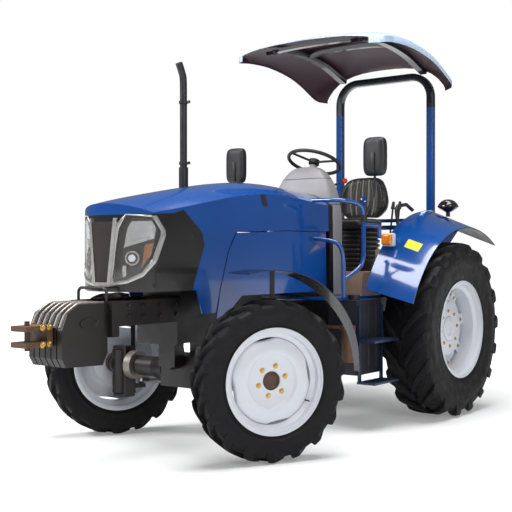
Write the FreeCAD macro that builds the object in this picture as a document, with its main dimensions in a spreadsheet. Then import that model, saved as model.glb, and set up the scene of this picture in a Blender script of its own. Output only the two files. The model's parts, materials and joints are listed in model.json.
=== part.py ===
# Utility farm tractor with four driven wheels, roll-over frame and sun canopy.
#
# The frame of the part: +Z up, the tractor faces -Y, its left side is +X.  The
# origin lies on the ground, below the middle of the overall length and width.
# All sizes are in millimetres.  The front wheels stand turned to the right.

import FreeCAD, Part
import math
import os
import Sketcher
from FreeCAD import Placement, Rotation, Vector

# ---------------------------------------------------------------- driving sizes

SIZES = [
    # overall
    ("front_overhang", 1400, "front axle to the face of the tow hitch"),
    ("wheelbase", 2175, "front axle to rear axle"),
    ("rear_overhang", 880, "rear axle to the ends of the lower links"),
    # front wheels and steering
    ("front_track", 1463, "between the mid-planes of the front wheels"),
    ("front_tyre_radius", 500, "to the tips of the lugs"),
    ("front_tyre_width", 211, "over the tyre"),
    ("front_rim_radius", 330, "to the edge of the rim flange"),
    ("front_rim_width", 190, "over both rim flanges"),
    ("kingpin_spacing", 1230, "between the two kingpins"),
    ("steer_rest", -27.6, "steering angle as it stands, negative to the right"),
    ("knuckle_radius", 60, "round case about the kingpin"),
    ("steering_arm", 150, "kingpin to the pin of the tie rod"),
    # rear wheels
    ("rear_track", 1574, "between the mid-planes of the rear wheels"),
    ("rear_tyre_radius", 682, "to the tips of the lugs"),
    ("rear_tyre_width", 378, "over the tyre"),
    ("rear_rim_radius", 381, "to the edge of the rim flange"),
    ("rear_rim_width", 356, "over both rim flanges"),
    # chassis
    ("support_half", 175, "half width of the front support"),
    ("support_top", 1000, "top of the front support"),
    ("support_bottom", 850, "underside of the front support rails"),
    ("engine_half", 160, "half width of the engine block"),
    ("engine_top", 1360, "top of the engine"),
    ("sump_bottom", 560, "underside of the engine sump"),
    ("gearbox_half", 170, "half width of the gearbox"),
    ("gearbox_bottom", 520, "underside of the gearbox"),
    ("gearbox_top", 900, "top of the gearbox"),
    ("axle_height", 505, "centre line of the front axle housing"),
    # hood
    ("hood_half", 300, "half width of the hood at its nose"),
    ("hood_rear_half", 330, "half width of the hood at its rear"),
    ("hood_wall", 5, "thickness of the hood and the side panels"),
    ("hood_nose", 775, "nose of the hood ahead of the front axle"),
    ("hood_rear", 1240, "rear edge of the hood behind the front axle"),
    ("hood_bottom", 1050, "lower edge of the nose"),
    ("hood_open", 45, "opening angle of the hood"),
    # driver's place
    ("floor_height", 960, "top of the platform"),
    ("floor_half", 540, "half width of the platform"),
    ("seat_height", 1560, "top of the seat cushion"),
    ("seat_half", 245, "half width of the seat"),
    ("seat_back_top", 1930, "top of the seat back"),
    ("wheel_rim_radius", 205, "steering wheel, to the middle of its rim"),
    # rear fenders
    ("fender_inner", 545, "inner wall of a rear fender from the middle"),
    ("fender_outer", 925, "outer edge of a rear fender from the middle"),
    ("fender_wall", 5, "thickness of the rear fenders"),
    # roll-over frame and canopy
    ("rops_half", 453, "post of the roll-over frame from the middle"),
    ("rops_top", 2640, "top of the roll-over frame"),
    ("rops_tube", 60, "square tube of the roll-over frame"),
    ("canopy_half", 690, "half width of the canopy"),
    ("canopy_length", 1200, "length of the canopy"),
    ("canopy_wall", 6, "thickness of the canopy sheet"),
    ("rail_tube", 16, "radius of the handrail tubes"),
]


class Size(float):
    """A number that remembers how it is worked out from the sheet."""

    def __new__(cls, value, text=None):
        size = float.__new__(cls, value)
        size.text = text or repr(float(value))
        return size

    def __add__(self, other):
        return Size(float(self) + float(other), f"({self.text} + {text(other)})")

    def __radd__(self, other):
        return Size(float(self) + float(other), f"({text(other)} + {self.text})")

    def __sub__(self, other):
        return Size(float(self) - float(other), f"({self.text} - {text(other)})")

    def __rsub__(self, other):
        return Size(float(other) - float(self), f"({text(other)} - {self.text})")

    def __mul__(self, other):
        return Size(float(self) * float(other), f"({self.text} * {text(other)})")

    __rmul__ = __mul__

    def __truediv__(self, other):
        return Size(float(self) / float(other), f"({self.text} / {text(other)})")

    def __neg__(self):
        return Size(-float(self), f"(0 - {self.text})")


def text(size):
    """The expression that stands for a size."""
    return size.text if isinstance(size, Size) else repr(float(size))


doc = FreeCAD.newDocument("tractor")
sheet = doc.addObject("Spreadsheet::Sheet", "sizes")
for row, (word, number, meaning) in enumerate(SIZES, start=1):
    sheet.set(f"A{row}", word)
    sheet.set(f"B{row}", str(number))
    sheet.set(f"C{row}", meaning)
    sheet.setAlias(f"B{row}", word)
doc.recompute()


class Sheet:
    """Every driving size by its own name."""


s = Sheet()
for word, number, meaning in SIZES:
    setattr(s, word, Size(getattr(sheet, word), f"sizes.{word}"))

length = s.front_overhang + s.wheelbase + s.rear_overhang
front_y = s.front_overhang - length / 2
rear_y = front_y + s.wheelbase

PARTS = []


# --------------------------------------------------------------------- helpers

def bind(item, prop, size):
    item.setExpression(prop, text(size))


def put(item, x=0, y=0, z=0, axis=(0, 0, 1), angle=0):
    """Set an item's place, tied to the sheet."""
    item.Placement = Placement(Vector(x, y, z), Rotation(Vector(*axis), float(angle)))
    bind(item, "Placement.Base.x", x)
    bind(item, "Placement.Base.y", y)
    bind(item, "Placement.Base.z", z)
    if isinstance(angle, Size):
        bind(item, "Placement.Rotation.Angle", angle)
    return item


def keep(item, label):
    """Name a finished sub-part."""
    item.Label = label
    PARTS.append(item)
    return item


def block(x0, x1, y0, y1, z0, z1):
    """A box between two values on each axis."""
    item = doc.addObject("Part::Box", "block")
    bind(item, "Length", x1 - x0)
    bind(item, "Width", y1 - y0)
    bind(item, "Height", z1 - z0)
    return put(item, x0, y0, z0)


TURNS = {"x": ((0, 1, 0), 90), "y": ((1, 0, 0), -90), "z": ((0, 0, 1), 0)}


def round_bar(axis, start, stop, radius, a=0, b=0):
    """A cylinder along an axis; a and b are its other two coordinates in order."""
    item = doc.addObject("Part::Cylinder", "round_bar")
    bind(item, "Radius", radius)
    bind(item, "Height", stop - start)
    x, y, z = {"x": (start, a, b), "y": (a, start, b), "z": (a, b, start)}[axis]
    return put(item, x, y, z, *TURNS[axis])


def taper(axis, start, stop, radius0, radius1, a=0, b=0):
    """A cone along an axis, from radius0 at start to radius1 at stop."""
    item = doc.addObject("Part::Cone", "taper")
    bind(item, "Radius1", radius0)
    bind(item, "Radius2", radius1)
    bind(item, "Height", stop - start)
    x, y, z = {"x": (start, a, b), "y": (a, start, b), "z": (a, b, start)}[axis]
    return put(item, x, y, z, *TURNS[axis])


def fused(items):
    """One solid made of touching pieces."""
    item = doc.addObject("Part::MultiFuse", "fused")
    item.Shapes = items
    item.Refine = True
    return item


def less(base, tool):
    """A piece with another cut away."""
    item = doc.addObject("Part::Cut", "less")
    item.Base = base
    item.Tool = tool
    item.Refine = True
    return item


def group(items):
    """Several solids that don't touch, kept as one sub-part."""
    item = doc.addObject("Part::Compound", "group")
    item.Links = items
    return item


def outline(body, role, corners):
    """A closed sketch of straight lines whose corners are tied to the sheet."""
    sketch = body.newObject("Sketcher::SketchObject", "outline")
    plane = [f for f in body.Origin.OriginFeatures if f.Role == role][0]
    sketch.AttachmentSupport = [(plane, "")]
    sketch.MapMode = "FlatFace"
    count = len(corners)
    for i in range(count):
        (u0, v0), (u1, v1) = corners[i], corners[(i + 1) % count]
        sketch.addGeometry(Part.LineSegment(Vector(u0, v0, 0), Vector(u1, v1, 0)))
    for i in range(count):
        sketch.addConstraint(Sketcher.Constraint("Coincident", i, 2, (i + 1) % count, 1))
    for i, (u, v) in enumerate(corners):
        for way, size in (("X", u), ("Y", v)):
            rule = Sketcher.Constraint("Distance" + way, -1, 1, i, 1, float(size))
            index = sketch.addConstraint(rule)
            sketch.renameConstraint(index, f"corner{i}{way}")
            bind(sketch, f"Constraints.corner{i}{way}", size)
    return sketch


def plate(role, corners, start, stop):
    """An outline on an origin plane, padded from start to stop along its axis."""
    body = doc.addObject("PartDesign::Body", "plate")
    sketch = outline(body, role, corners)
    # the XZ plane looks along -Y, so its pad grows from stop back to start
    offset = -stop if role == "XZ_Plane" else start
    bind(sketch, "AttachmentOffset.Base.z", offset)
    pad = body.newObject("PartDesign::Pad", "pad")
    pad.Profile = sketch
    bind(pad, "Length", stop - start)
    return body


def turned(corners):
    """A ring or wheel about the X axis; corners are (along the axis, radius)."""
    body = doc.addObject("PartDesign::Body", "turned")
    sketch = outline(body, "XY_Plane", corners)
    spin = body.newObject("PartDesign::Revolution", "spin")
    spin.Profile = sketch
    spin.ReferenceAxis = (sketch, ["H_Axis"])
    spin.Angle = 360
    return body


def shaped(shape):
    """A piece whose form is worked out by the code below."""
    item = doc.addObject("Part::Feature", "shaped")
    item.Shape = shape
    return item


def polygon(points):
    points = [Vector(*[float(c) for c in p]) for p in points]
    return Part.makePolygon(points + points[:1])


def prism(points, along):
    """A closed outline swept straight along a vector."""
    return Part.Face(polygon(points)).extrude(Vector(*[float(c) for c in along]))


def side_prism(outline_yz, x0, x1):
    """A prism across the tractor, from an outline of (y, z) corners."""
    return prism([(x0, y, z) for y, z in outline_yz], (x1 - x0, 0, 0))


def bent_tube(points, radius, bend):
    """A round tube through corner points, each corner rounded."""
    points = [Vector(*[float(c) for c in p]) for p in points]
    edges = []
    last = points[0]
    for before, corner, after in zip(points, points[1:], points[2:]):
        back = (before - corner).normalize()
        ahead = (after - corner).normalize()
        half = back.getAngle(ahead) / 2
        reach = bend / math.tan(half)
        first = corner + back * reach
        final = corner + ahead * reach
        middle = corner + (back + ahead).normalize() * (bend / math.sin(half) - bend)
        edges.append(Part.LineSegment(last, first).toShape())
        edges.append(Part.Arc(first, middle, final).toShape())
        last = final
    edges.append(Part.LineSegment(last, points[-1]).toShape())
    path = Part.Wire(edges)
    start = points[0]
    ring = Part.Wire(Part.makeCircle(float(radius), start, points[1] - start))
    return path.makePipeShell([ring], True, False)


def mirrored(shape):
    """The same piece on the tractor's other side."""
    return shape.mirror(Vector(0, 0, 0), Vector(1, 0, 0))


def span(way, near, far):
    """Two places across the tractor, in rising order on either side."""
    return (Size(near), Size(far)) if way > 0 else (Size(-far), Size(-near))


SIDES = [("left", 1), ("right", -1)]
kingpin_x = s.kingpin_spacing / 2
wheel_offset = (s.front_track - s.kingpin_spacing) / 2


# ---------------------------------------------------------------------- wheels

def tyre(radius, width, rim_radius, rim_width):
    """A closed tyre about the X axis, out to the tips of its lugs."""
    seat = rim_radius - 22
    bulge = width / 2
    edge = rim_width / 2 - 8
    tread = width / 2 - 14
    side = (radius + rim_radius) / 2
    return turned([
        (-edge, seat), (-edge, rim_radius + 6), (-bulge, side - 20), (-bulge, side + 20),
        (-tread, radius - 26), (-tread + 22, radius - 6), (-tread * 0.4, radius),
        (tread * 0.4, radius), (tread - 22, radius - 6), (tread, radius - 26),
        (bulge, side + 20), (bulge, side - 20), (edge, rim_radius + 6), (edge, seat),
    ])


def rim(rim_radius, rim_width, disc_at, hub_hole, dish, hub=()):
    """Rim with a well and a dished disc about the X axis, with or without its hub."""
    half = rim_width / 2
    wall = 7
    seat = rim_radius - 24
    well = rim_radius - 58
    barrel = [
        (-half, rim_radius), (-half + wall, rim_radius), (-half + wall, seat),
        (-half + 45, seat), (-half + 62, well), (half - 62, well), (half - 45, seat),
        (half - wall, seat), (half - wall, rim_radius), (half, rim_radius),
        (half, seat - wall), (half - 45 + wall / 2, seat - wall),
        (half - 62 + wall / 2, well - wall), (-half + 62 - wall / 2, well - wall),
        (-half + 45 - wall / 2, seat - wall), (-half, seat - wall),
    ]
    disc = [
        (disc_at, hub_hole), (disc_at + 12, hub_hole), (disc_at + 12, hub_hole + 85),
        (disc_at + dish + 12, well - 40), (disc_at + dish + 12, well - wall + 3),
        (disc_at + dish, well - wall + 3), (disc_at + dish, well - 44),
        (disc_at, hub_hole + 89),
    ]
    return fused([turned(corners) for corners in (barrel, disc, hub) if corners])


for side, way in SIDES:
    turn = s.steer_rest
    # wheels are drawn about the kingpin, straight ahead, then turned with the steering
    front = way * wheel_offset
    hub = [(-46, 0), (-46, 75), (30.5, 75), (30.5, 45), (68, 45), (68, 0)]
    for kind, item in (
        ("front_tyre", tyre(s.front_tyre_radius, s.front_tyre_width,
                            s.front_rim_radius, s.front_rim_width)),
        ("front_rim", rim(s.front_rim_radius, s.front_rim_width, 30, 58, -22, hub)),
    ):
        item.Placement = Placement(Vector(front, 0, 0), Rotation(Vector(0, 0, 1), 90 - 90 * way))
        bind(item, "Placement.Base.x", front)
        holder = group([item])
        put(holder, way * kingpin_x, front_y, s.front_tyre_radius, (0, 0, 1), turn)
        keep(holder, f"{kind}_{side}")

    rear = way * s.rear_track / 2
    for kind, item in (
        ("rear_tyre", tyre(s.rear_tyre_radius, s.rear_tyre_width,
                           s.rear_rim_radius, s.rear_rim_width)),
        ("rear_rim", rim(s.rear_rim_radius, s.rear_rim_width, 20, 95, 60)),
    ):
        item.Placement = Placement(Vector(rear, 0, 0), Rotation(Vector(0, 0, 1), 90 - 90 * way))
        bind(item, "Placement.Base.x", rear)
        bind(item, "Placement.Base.y", rear_y)
        bind(item, "Placement.Base.z", s.rear_tyre_radius)
        keep(item, f"{kind}_{side}")


def ahead(y):
    """A place along the tractor, measured back from the front axle."""
    return front_y + y


def behind(y):
    """A place along the tractor, measured back from the rear axle."""
    return rear_y + y


# ------------------------------------------------------------ front axle, steering

axle_z = s.axle_height
wheel_z = s.front_tyre_radius
fender_radius = s.front_tyre_radius + 175

beam_end = kingpin_x - s.knuckle_radius - 12
beam = fused([
    block(-150, 150, ahead(-95), ahead(95), axle_z - 105, axle_z + 105),
    taper("x", Size(150), beam_end - 125, Size(100), Size(70), front_y, axle_z),
    taper("x", -Size(270), Size(-150), Size(72), Size(100), front_y, axle_z),
    round_bar("x", -(beam_end - 125), Size(-260), 68, front_y, axle_z),
    round_bar("y", ahead(-200), ahead(200), 45, 0, axle_z + 60),
])

sleeves = []
for side, way in SIDES:
    near, far = (beam_end - 125, beam_end) if way > 0 else (-beam_end, -(beam_end - 125))
    web = (beam_end - 24, beam_end) if way > 0 else (-beam_end, -(beam_end - 24))
    lug = (beam_end - 24, kingpin_x + 35) if way > 0 else (-(kingpin_x + 35), -(beam_end - 24))
    sleeves.append(fused([
        round_bar("x", near, far - 10 if way > 0 else far, 55, front_y, axle_z),
        block(*web, ahead(-48), ahead(48), 300, 632),
        block(*lug, ahead(-40), ahead(40), 612, 632),
        block(*lug, ahead(-40), ahead(40), 280, 300),
    ]))
keep(fused([beam] + sleeves), "front_axle")

for side, way in SIDES:
    boss = (0, 66) if way > 0 else (-66, 0)
    knuckle = fused([
        round_bar("z", 306, 606, s.knuckle_radius),
        round_bar("x", *[Size(b) for b in boss], 72, 0, wheel_z),
        block(Size(-24), Size(24), Size(0), s.steering_arm + 24, Size(330), Size(356)),
        round_bar("z", Size(356), Size(372), 16, 0, s.steering_arm),
        block(*span(way, -16, -6), Size(69), Size(99), Size(430), wheel_z + fender_radius - 7),
        block(*span(way, -16, -6), Size(20), Size(99), Size(430), Size(480)),
    ])
    put(knuckle, way * kingpin_x, front_y, 0, (0, 0, 1), s.steer_rest)
    keep(knuckle, f"knuckle_{side}")


def front_fender(way):
    """Strip round the wheel from just ahead of its top to the height of its axle."""
    inner = float(fender_radius)
    first = math.radians(75)
    face = prism([(-140, -inner * math.cos(first), inner * math.sin(first)),
                  (220, -inner * math.cos(first), inner * math.sin(first)),
                  (220, -(inner + 5) * math.cos(first), (inner + 5) * math.sin(first)),
                  (-140, -(inner + 5) * math.cos(first), (inner + 5) * math.sin(first))],
                 (0, 1e-3, 0)).Faces
    section = max(face, key=lambda f: f.Area)
    strip = section.revolve(Vector(0, 0, 0), Vector(-1, 0, 0), 104)
    plan = [(-120, -190), (-100, 0), (-66, 250), (-38, 440), (-5, 600), (8, 690),
            (56, 690), (80, 665), (106, 617), (150, 452), (180, 306), (200, 0), (205, -190)]
    cutter = prism([(x, y, -60) for x, y in plan], (0, 0, 900))
    shape = strip.common(cutter)
    return shape if way > 0 else mirrored(shape)


for side, way in SIDES:
    fender = shaped(front_fender(way))
    put(fender, way * kingpin_x, front_y, wheel_z, (0, 0, 1), s.steer_rest)
    keep(fender, f"front_fender_{side}")

turn = math.radians(float(s.steer_rest))
pin_dx = -float(s.steering_arm) * math.sin(turn)
pin_dy = float(s.steering_arm) * math.cos(turn)
tie_y = float(front_y) + pin_dy
tie = bent_tube([(-float(kingpin_x) + pin_dx, tie_y, 388),
                 (float(kingpin_x) + pin_dx, tie_y, 388)], 15, 20)
ends = [Part.makeCylinder(27, 30, Vector(x * float(kingpin_x) + pin_dx, tie_y, 373)) for x in (-1, 1)]
keep(shaped(tie.fuse(ends)), "tie_rod")


# ----------------------------------------------------------------- chassis line

rail = s.support_half
saddles = [block(-70, 70, ahead(y0), ahead(y1), axle_z + 40, Size(701))
           for y0, y1 in ((-200, -110), (110, 200))]
support = fused([
    block(-rail, -(rail - 35), ahead(-860), ahead(-260), s.support_bottom, s.support_top),
    block(rail - 35, rail, ahead(-860), ahead(-260), s.support_bottom, s.support_top),
    block(-rail, rail, ahead(-860), ahead(-800), s.support_bottom - 60, s.support_top - 20),
    block(-rail, rail, ahead(-290), ahead(-252), Size(700), s.support_top),
    block(-120, 120, ahead(-260), ahead(200), Size(700), Size(758)),
] + saddles)
pivot = round_bar("y", ahead(-210), ahead(210), 45.5, 0, axle_z + 60)
keep(less(support, pivot), "front_support")

weights = []
count = 6
pitch = 48
for i in range(count):
    x = (i - (count - 1) / 2) * pitch
    weights.append(plate("YZ_Plane", [
        (ahead(-1210), Size(690)), (ahead(-1180), Size(640)), (ahead(-900), Size(630)),
        (ahead(-861), Size(700)), (ahead(-861), Size(990)), (ahead(-1080), Size(990)),
        (ahead(-1170), Size(940)), (ahead(-1210), Size(850)),
    ], Size(x - 20), Size(x + 20)))
keep(group(weights), "front_weights")

keep(fused([
    block(-65, 65, ahead(-s.front_overhang + 150), ahead(-1211), Size(760), Size(880)),
    block(-65, 65, ahead(-s.front_overhang), ahead(-s.front_overhang + 150), Size(850), Size(880)),
    block(-65, 65, ahead(-s.front_overhang), ahead(-s.front_overhang + 150), Size(760), Size(790)),
    round_bar("z", Size(740), Size(905), 15, 0, ahead(-s.front_overhang + 60)),
]), "tow_hitch")

keep(shaped(bent_tube([(-120, ahead(-850), 985), (-120, ahead(-850), 1075),
                       (120, ahead(-850), 1075), (120, ahead(-850), 985)], 9, 30)), "grille_guard")

engine_front = ahead(-250)
engine_rear = ahead(620)
keep(fused([
    block(-s.engine_half, s.engine_half, engine_front, engine_rear, Size(760), s.engine_top),
    block(-130, 130, ahead(230), engine_rear, s.sump_bottom, Size(760)),
]), "engine_block")

gear_end = behind(170)
gearcase = fused([
    block(-s.gearbox_half, s.gearbox_half, engine_rear, gear_end, s.gearbox_bottom, s.gearbox_top),
    block(-220, 220, behind(-190), gear_end, s.gearbox_bottom, s.gearbox_top + 30),
])

rear_z = s.rear_tyre_radius
flange_x = s.rear_track / 2 + 18
trumpets = []
for side, way in SIDES:
    near, far = (Size(210), flange_x) if way > 0 else (-flange_x, Size(-210))
    wide, slim = (Size(120), Size(85)) if way > 0 else (Size(85), Size(120))
    trumpets.append(taper("x", near, far, wide, slim, rear_y, rear_z))
keep(fused([gearcase] + trumpets), "gearbox_and_rear_axle")

keep(round_bar("y", ahead(96), engine_rear + 40, 32, 0, axle_z - 40), "front_drive_shaft")

# ------------------------------------------------------------------------- hood

def hood_section(y, half, base, shoulder, crest):
    """Closed wire across the hood: straight sides under a curved top."""
    y, half, base, shoulder, crest = [float(v) for v in (y, half, base, shoulder, crest)]
    low_l, high_l = Vector(-half, y, base), Vector(-half + 12, y, shoulder)
    low_r, high_r = Vector(half, y, base), Vector(half - 12, y, shoulder)
    return Part.Wire([
        Part.LineSegment(low_l, high_l).toShape(),
        Part.Arc(high_l, Vector(0, y, crest), high_r).toShape(),
        Part.LineSegment(high_r, low_r).toShape(),
        Part.LineSegment(low_r, low_l).toShape(),
    ])


HOOD_STATIONS = [
    # behind the front axle, share of the way from nose to rear width, shoulder, crest
    (-900, 0.0, 1500, 1545),
    (-600, 0.0, 1530, 1620),
    (-200, 0.2, 1595, 1690),
    (200, 0.5, 1660, 1750),
    (700, 0.8, 1680, 1778),
    (1400, 1.0, 1640, 1745),
]


def hood_form(inset):
    """The hood as a filled form along its whole length, shrunk by an inset."""
    wires = []
    for back, share, shoulder, crest in HOOD_STATIONS:
        half = s.hood_half + (s.hood_rear_half - s.hood_half) * share
        wires.append(hood_section(front_y + back, half - inset, 700, shoulder - inset, crest - inset))
    return Part.makeLoft(wires, True, False)


def hood_plan(inset, front, rear):
    """The bowed nose and the rear edge seen from above, as an upright prism."""
    half = float(s.hood_rear_half) + 1
    tip = float(ahead(-front)) + inset
    shoulder = tip + 210
    end = float(ahead(rear))
    bow = Part.Arc(Vector(-half, shoulder, 600), Vector(0, tip, 600), Vector(half, shoulder, 600))
    sides = Part.makePolygon([Vector(half, shoulder, 600), Vector(half, end, 600),
                              Vector(-half, end, 600), Vector(-half, shoulder, 600)])
    plan = Part.Face(Part.Wire([bow.toShape()] + sides.Edges))
    return plan.extrude(Vector(0, 0, 1400))


wall = float(s.hood_wall)
outer_form, inner_form = hood_form(0), hood_form(wall)
shell = outer_form.common(hood_plan(0, s.hood_nose, s.hood_rear))
shell = shell.cut(inner_form.common(hood_plan(wall, s.hood_nose, s.hood_rear + 20)))
far_x = float(s.hood_rear_half) + 50


def hood_side(points):
    """A prism over the hood's full width from (behind the front axle, height) corners."""
    return side_prism([(float(front_y) + y, z) for y, z in points], -far_x, far_x)


ARCH = [(-70, 900), (-30, 1040), (60, 1300), (140, 1420), (700, 1440), (1300, 1440)]
lid_form = hood_side([(-1000, 1050), (-250, 1050), (-200, 900)] + ARCH + [(1300, 2000), (-1000, 2000)])
lid = shell.common(lid_form)
NOSE_EDGE = [(-310, 1000), (-170, 1330), (-190, 1410), (-360, 1550)]
nose_form = hood_side([(-1000, 1000)] + NOSE_EDGE + [(-450, 1525), (-1000, 1500)])
grille_form = prism([(-75, ahead(-1000), 1470), (75, ahead(-1000), 1470),
                     (45, ahead(-1000), 1115), (-45, ahead(-1000), 1115)], (0, 300, 0))
LAMP = [(120, 1478), (265, 1500), (340, 1500), (340, 1330), (250, 1190), (150, 1130), (75, 1120)]
lamp_band = Part.makeBox(800, 420, 500, Vector(-400, float(ahead(-900)), 1100))


def lamp_form(way):
    face = prism([(way * x, ahead(-1000), z) for x, z in LAMP], (0, 600, 0))
    return face.common(lamp_band)


nose = lid.common(nose_form)
top = lid.cut(nose_form)
lamps = [nose.common(lamp_form(way)) for side, way in SIDES]
grille = nose.common(grille_form)
nose = nose.cut(lamps + [grille])
keep(shaped(top), "hood_shell")
keep(shaped(nose), "hood_nose")
keep(shaped(grille), "grille")
keep(shaped(Part.makeCompound(lamps)), "headlamps")

panel_form = hood_side([(-60, 860)] + [(y + 8, z - 6) for y, z in ARCH[1:-1]]
                       + [(1200, 1434), (1200, 1000), (200, 1000), (60, 900)])
panel_shell = shell.common(panel_form)
port = Part.makeCylinder(45, 2 * far_x, Vector(-2 * far_x, float(ahead(420)), 1150), Vector(1, 0, 0))
keep(shaped(panel_shell.cut(port)), "side_panels")

band = Part.makeBox(800, 50, 1200, Vector(-400, float(ahead(s.hood_rear)) + 6, float(s.floor_height)))
hoop = outer_form.cut(hood_form(30)).common(band)
keep(shaped(hoop), "hood_rear_frame")


# ----------------------------------------------------------------- driver's place

def ahead_points(points):
    """Corners of (behind the front axle, height) as places along the tractor."""
    return [(ahead(y), Size(z)) for y, z in points]


console_side = side_prism([(float(ahead(y)), z) for y, z in (
    (1296, 965), (1296, 1800), (1330, 1900), (1400, 1950), (1450, 1905), (1485, 1700),
    (1490, 1520), (1440, 1300), (1440, 965))], -400, 400)
console_plan = prism([(x, float(ahead(y)), 900) for x, y in (
    (-290, 1290), (-275, 1370), (-190, 1495), (190, 1495), (275, 1370), (290, 1290))], (0, 0, 1200))
console_front = prism([(x, float(ahead(1200)), z) for x, z in (
    (-290, 900), (-290, 1620), (-255, 1790), (-180, 1905), (-90, 1955), (90, 1955), (180, 1905),
    (255, 1790), (290, 1620), (290, 900))], (0, 500, 0))
console = console_side.common(console_plan).common(console_front)

keep(block(-s.floor_half, s.floor_half, ahead(1000), behind(-300), s.floor_height - 20,
           s.floor_height), "platform")

keep(plate("YZ_Plane", [
    (behind(-480), s.floor_height), (behind(-460), s.floor_height + 170),
    (behind(140), s.floor_height + 170), (behind(140), s.floor_height + 90),
    (behind(-70), s.floor_height + 90), (behind(-70), s.floor_height),
], Size(-330), Size(330)), "seat_platform")

keep(plate("YZ_Plane", [
    (behind(-230), s.floor_height + 170), (behind(-200), s.seat_height - 75),
    (behind(130), s.seat_height - 75), (behind(130), s.floor_height + 170),
], Size(-150), Size(150)), "seat_suspension")

keep(block(-s.seat_half, s.seat_half, behind(-330), behind(110), s.seat_height - 75, s.seat_height),
     "seat_cushion")

keep(plate("YZ_Plane", [
    (behind(70), s.seat_height + 6), (behind(105), s.seat_back_top),
    (behind(185), s.seat_back_top), (behind(150), s.seat_height + 6),
], -s.seat_half, s.seat_half), "seat_back")

column_low = Vector(0, float(ahead(1400)), 1700)
column_way = Vector(0, 0.38, 0.925).normalize()
column_length = 320
column_top = column_low + column_way * column_length
column = Part.makeCylinder(30, column_length - 20, column_low, column_way)
console = console.fuse(column)
keep(shaped(console), "console")
rim_shape = Part.makeTorus(float(s.wheel_rim_radius), 14, column_top, column_way)
hub_shape = Part.makeCylinder(42, 36, column_top - column_way * 18, column_way)
spokes = [Part.makeCylinder(9, float(s.wheel_rim_radius), column_top,
                            Rotation(column_way, 120 * i).multVec(Vector(1, 0, 0))) for i in range(3)]
keep(shaped(rim_shape.fuse([hub_shape] + spokes)), "steering_wheel")


# ------------------------------------------------------------------ rear fenders

def fender_curve(x, shift, centre, radius, wall):
    """Closed strip in one plane across the tractor, an arc over the rear wheel."""
    middle = Vector(float(x), float(rear_y) + shift, centre)

    def at(reach, degrees):
        turn = math.radians(degrees)
        return middle + Vector(0, reach * math.cos(turn), reach * math.sin(turn))

    first, last = 153, 60
    mean = (first + last) / 2
    return Part.Wire([
        Part.Arc(at(radius, first), at(radius, mean), at(radius, last)).toShape(),
        Part.LineSegment(at(radius, last), at(radius - wall, last)).toShape(),
        Part.Arc(at(radius - wall, last), at(radius - wall, mean), at(radius - wall, first)).toShape(),
        Part.LineSegment(at(radius - wall, first), at(radius, first)).toShape(),
    ])


wall = float(s.fender_wall)
skin = Part.makeLoft([fender_curve(s.fender_inner, 225, 500, 1125, wall),
                      fender_curve(s.fender_outer, 185, 435, 1050, wall)], True, True)
inner_arc = fender_curve(s.fender_inner, 225, 500, 1125 - wall / 2, 1).Edges[0]
low_front, low_rear = inner_arc.Vertexes[0].Point, inner_arc.Vertexes[-1].Point
corner = Vector(float(s.fender_inner), float(behind(-100)), 860)
side_face = Part.Face(Part.Wire([inner_arc, Part.LineSegment(low_rear, corner).toShape(),
                                 Part.LineSegment(corner, low_front).toShape()]))
side_wall = side_face.extrude(Vector(wall, 0, 0))
fender = skin.fuse(side_wall)
fenders = {}
for side, way in SIDES:
    fenders[side] = shaped(fender if way > 0 else mirrored(fender))
    keep(fenders[side], f"rear_fender_{side}")


# ------------------------------------------------------ roll-over frame and canopy

tube = s.rops_tube
post_y = behind(455)
posts = [block(way * s.rops_half - tube / 2, way * s.rops_half + tube / 2,
               post_y - tube / 2, post_y + tube / 2, s.floor_height - 130, s.rops_top - 100)
         for side, way in SIDES]
half = float(s.rops_half)
top_z = float(s.rops_top) - float(tube) / 2
bow = bent_tube([(-half, post_y, s.rops_top - 100), (-half, post_y, top_z),
                 (half, post_y, top_z), (half, post_y, s.rops_top - 100)],
                float(tube) / 2, 65)
feet = [block(way * s.rops_half - 60, way * s.rops_half + 60, rear_y - 70, post_y + 30,
              rear_z + 118, rear_z + 150) for side, way in SIDES]
crossbar = block(-s.rops_half, s.rops_half, post_y - 20, post_y + 20, Size(1480), Size(1520))
keep(fused(posts + feet + [crossbar]), "rops_posts")


def canopy_section(y, edge, crown, half, inset):
    y = float(ahead(y))
    half = float(half)
    return Part.Wire([
        Part.Arc(Vector(-half, y, edge), Vector(0, y, crown), Vector(half, y, edge)).toShape(),
        Part.LineSegment(Vector(half, y, edge), Vector(half, y, edge - inset)).toShape(),
        Part.Arc(Vector(half, y, edge - inset), Vector(0, y, crown - inset),
                 Vector(-half, y, edge - inset)).toShape(),
        Part.LineSegment(Vector(-half, y, edge - inset), Vector(-half, y, edge)).toShape(),
    ])


canopy = Part.makeLoft([canopy_section(y, edge, crown, s.canopy_half, 12) for y, edge, crown in (
    (1414, 2880, 2950), (1600, 2930, 3020), (1900, 2930, 3050), (2250, 2850, 2990), (2614, 2680, 2820),
)], True, False)
keep(shaped(canopy), "canopy")
beams = []
for way in (1, -1):
    x = way * 400
    beams.append(bent_tube([(x, ahead(2600), float(s.rops_top) + 15), (x, ahead(2200), 2790),
                            (x, ahead(1900), 2870), (x, ahead(1500), 2850)], 14, 60))
    beams.append(Part.makeCylinder(14, 60, Vector(x, float(ahead(2600)), float(s.rops_top) - 30)))
keep(shaped(bow.fuse(beams)), "canopy_frame")


# ------------------------------------------------------------- rails, steps, trim

def rail_line(points, way):
    return bent_tube([(way * x, ahead(y), z) for x, y, z in points], s.rail_tube, 55)


rails = []
tanks = []
steps = []
mirrors = []
lamps = []
grabs = []


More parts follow.
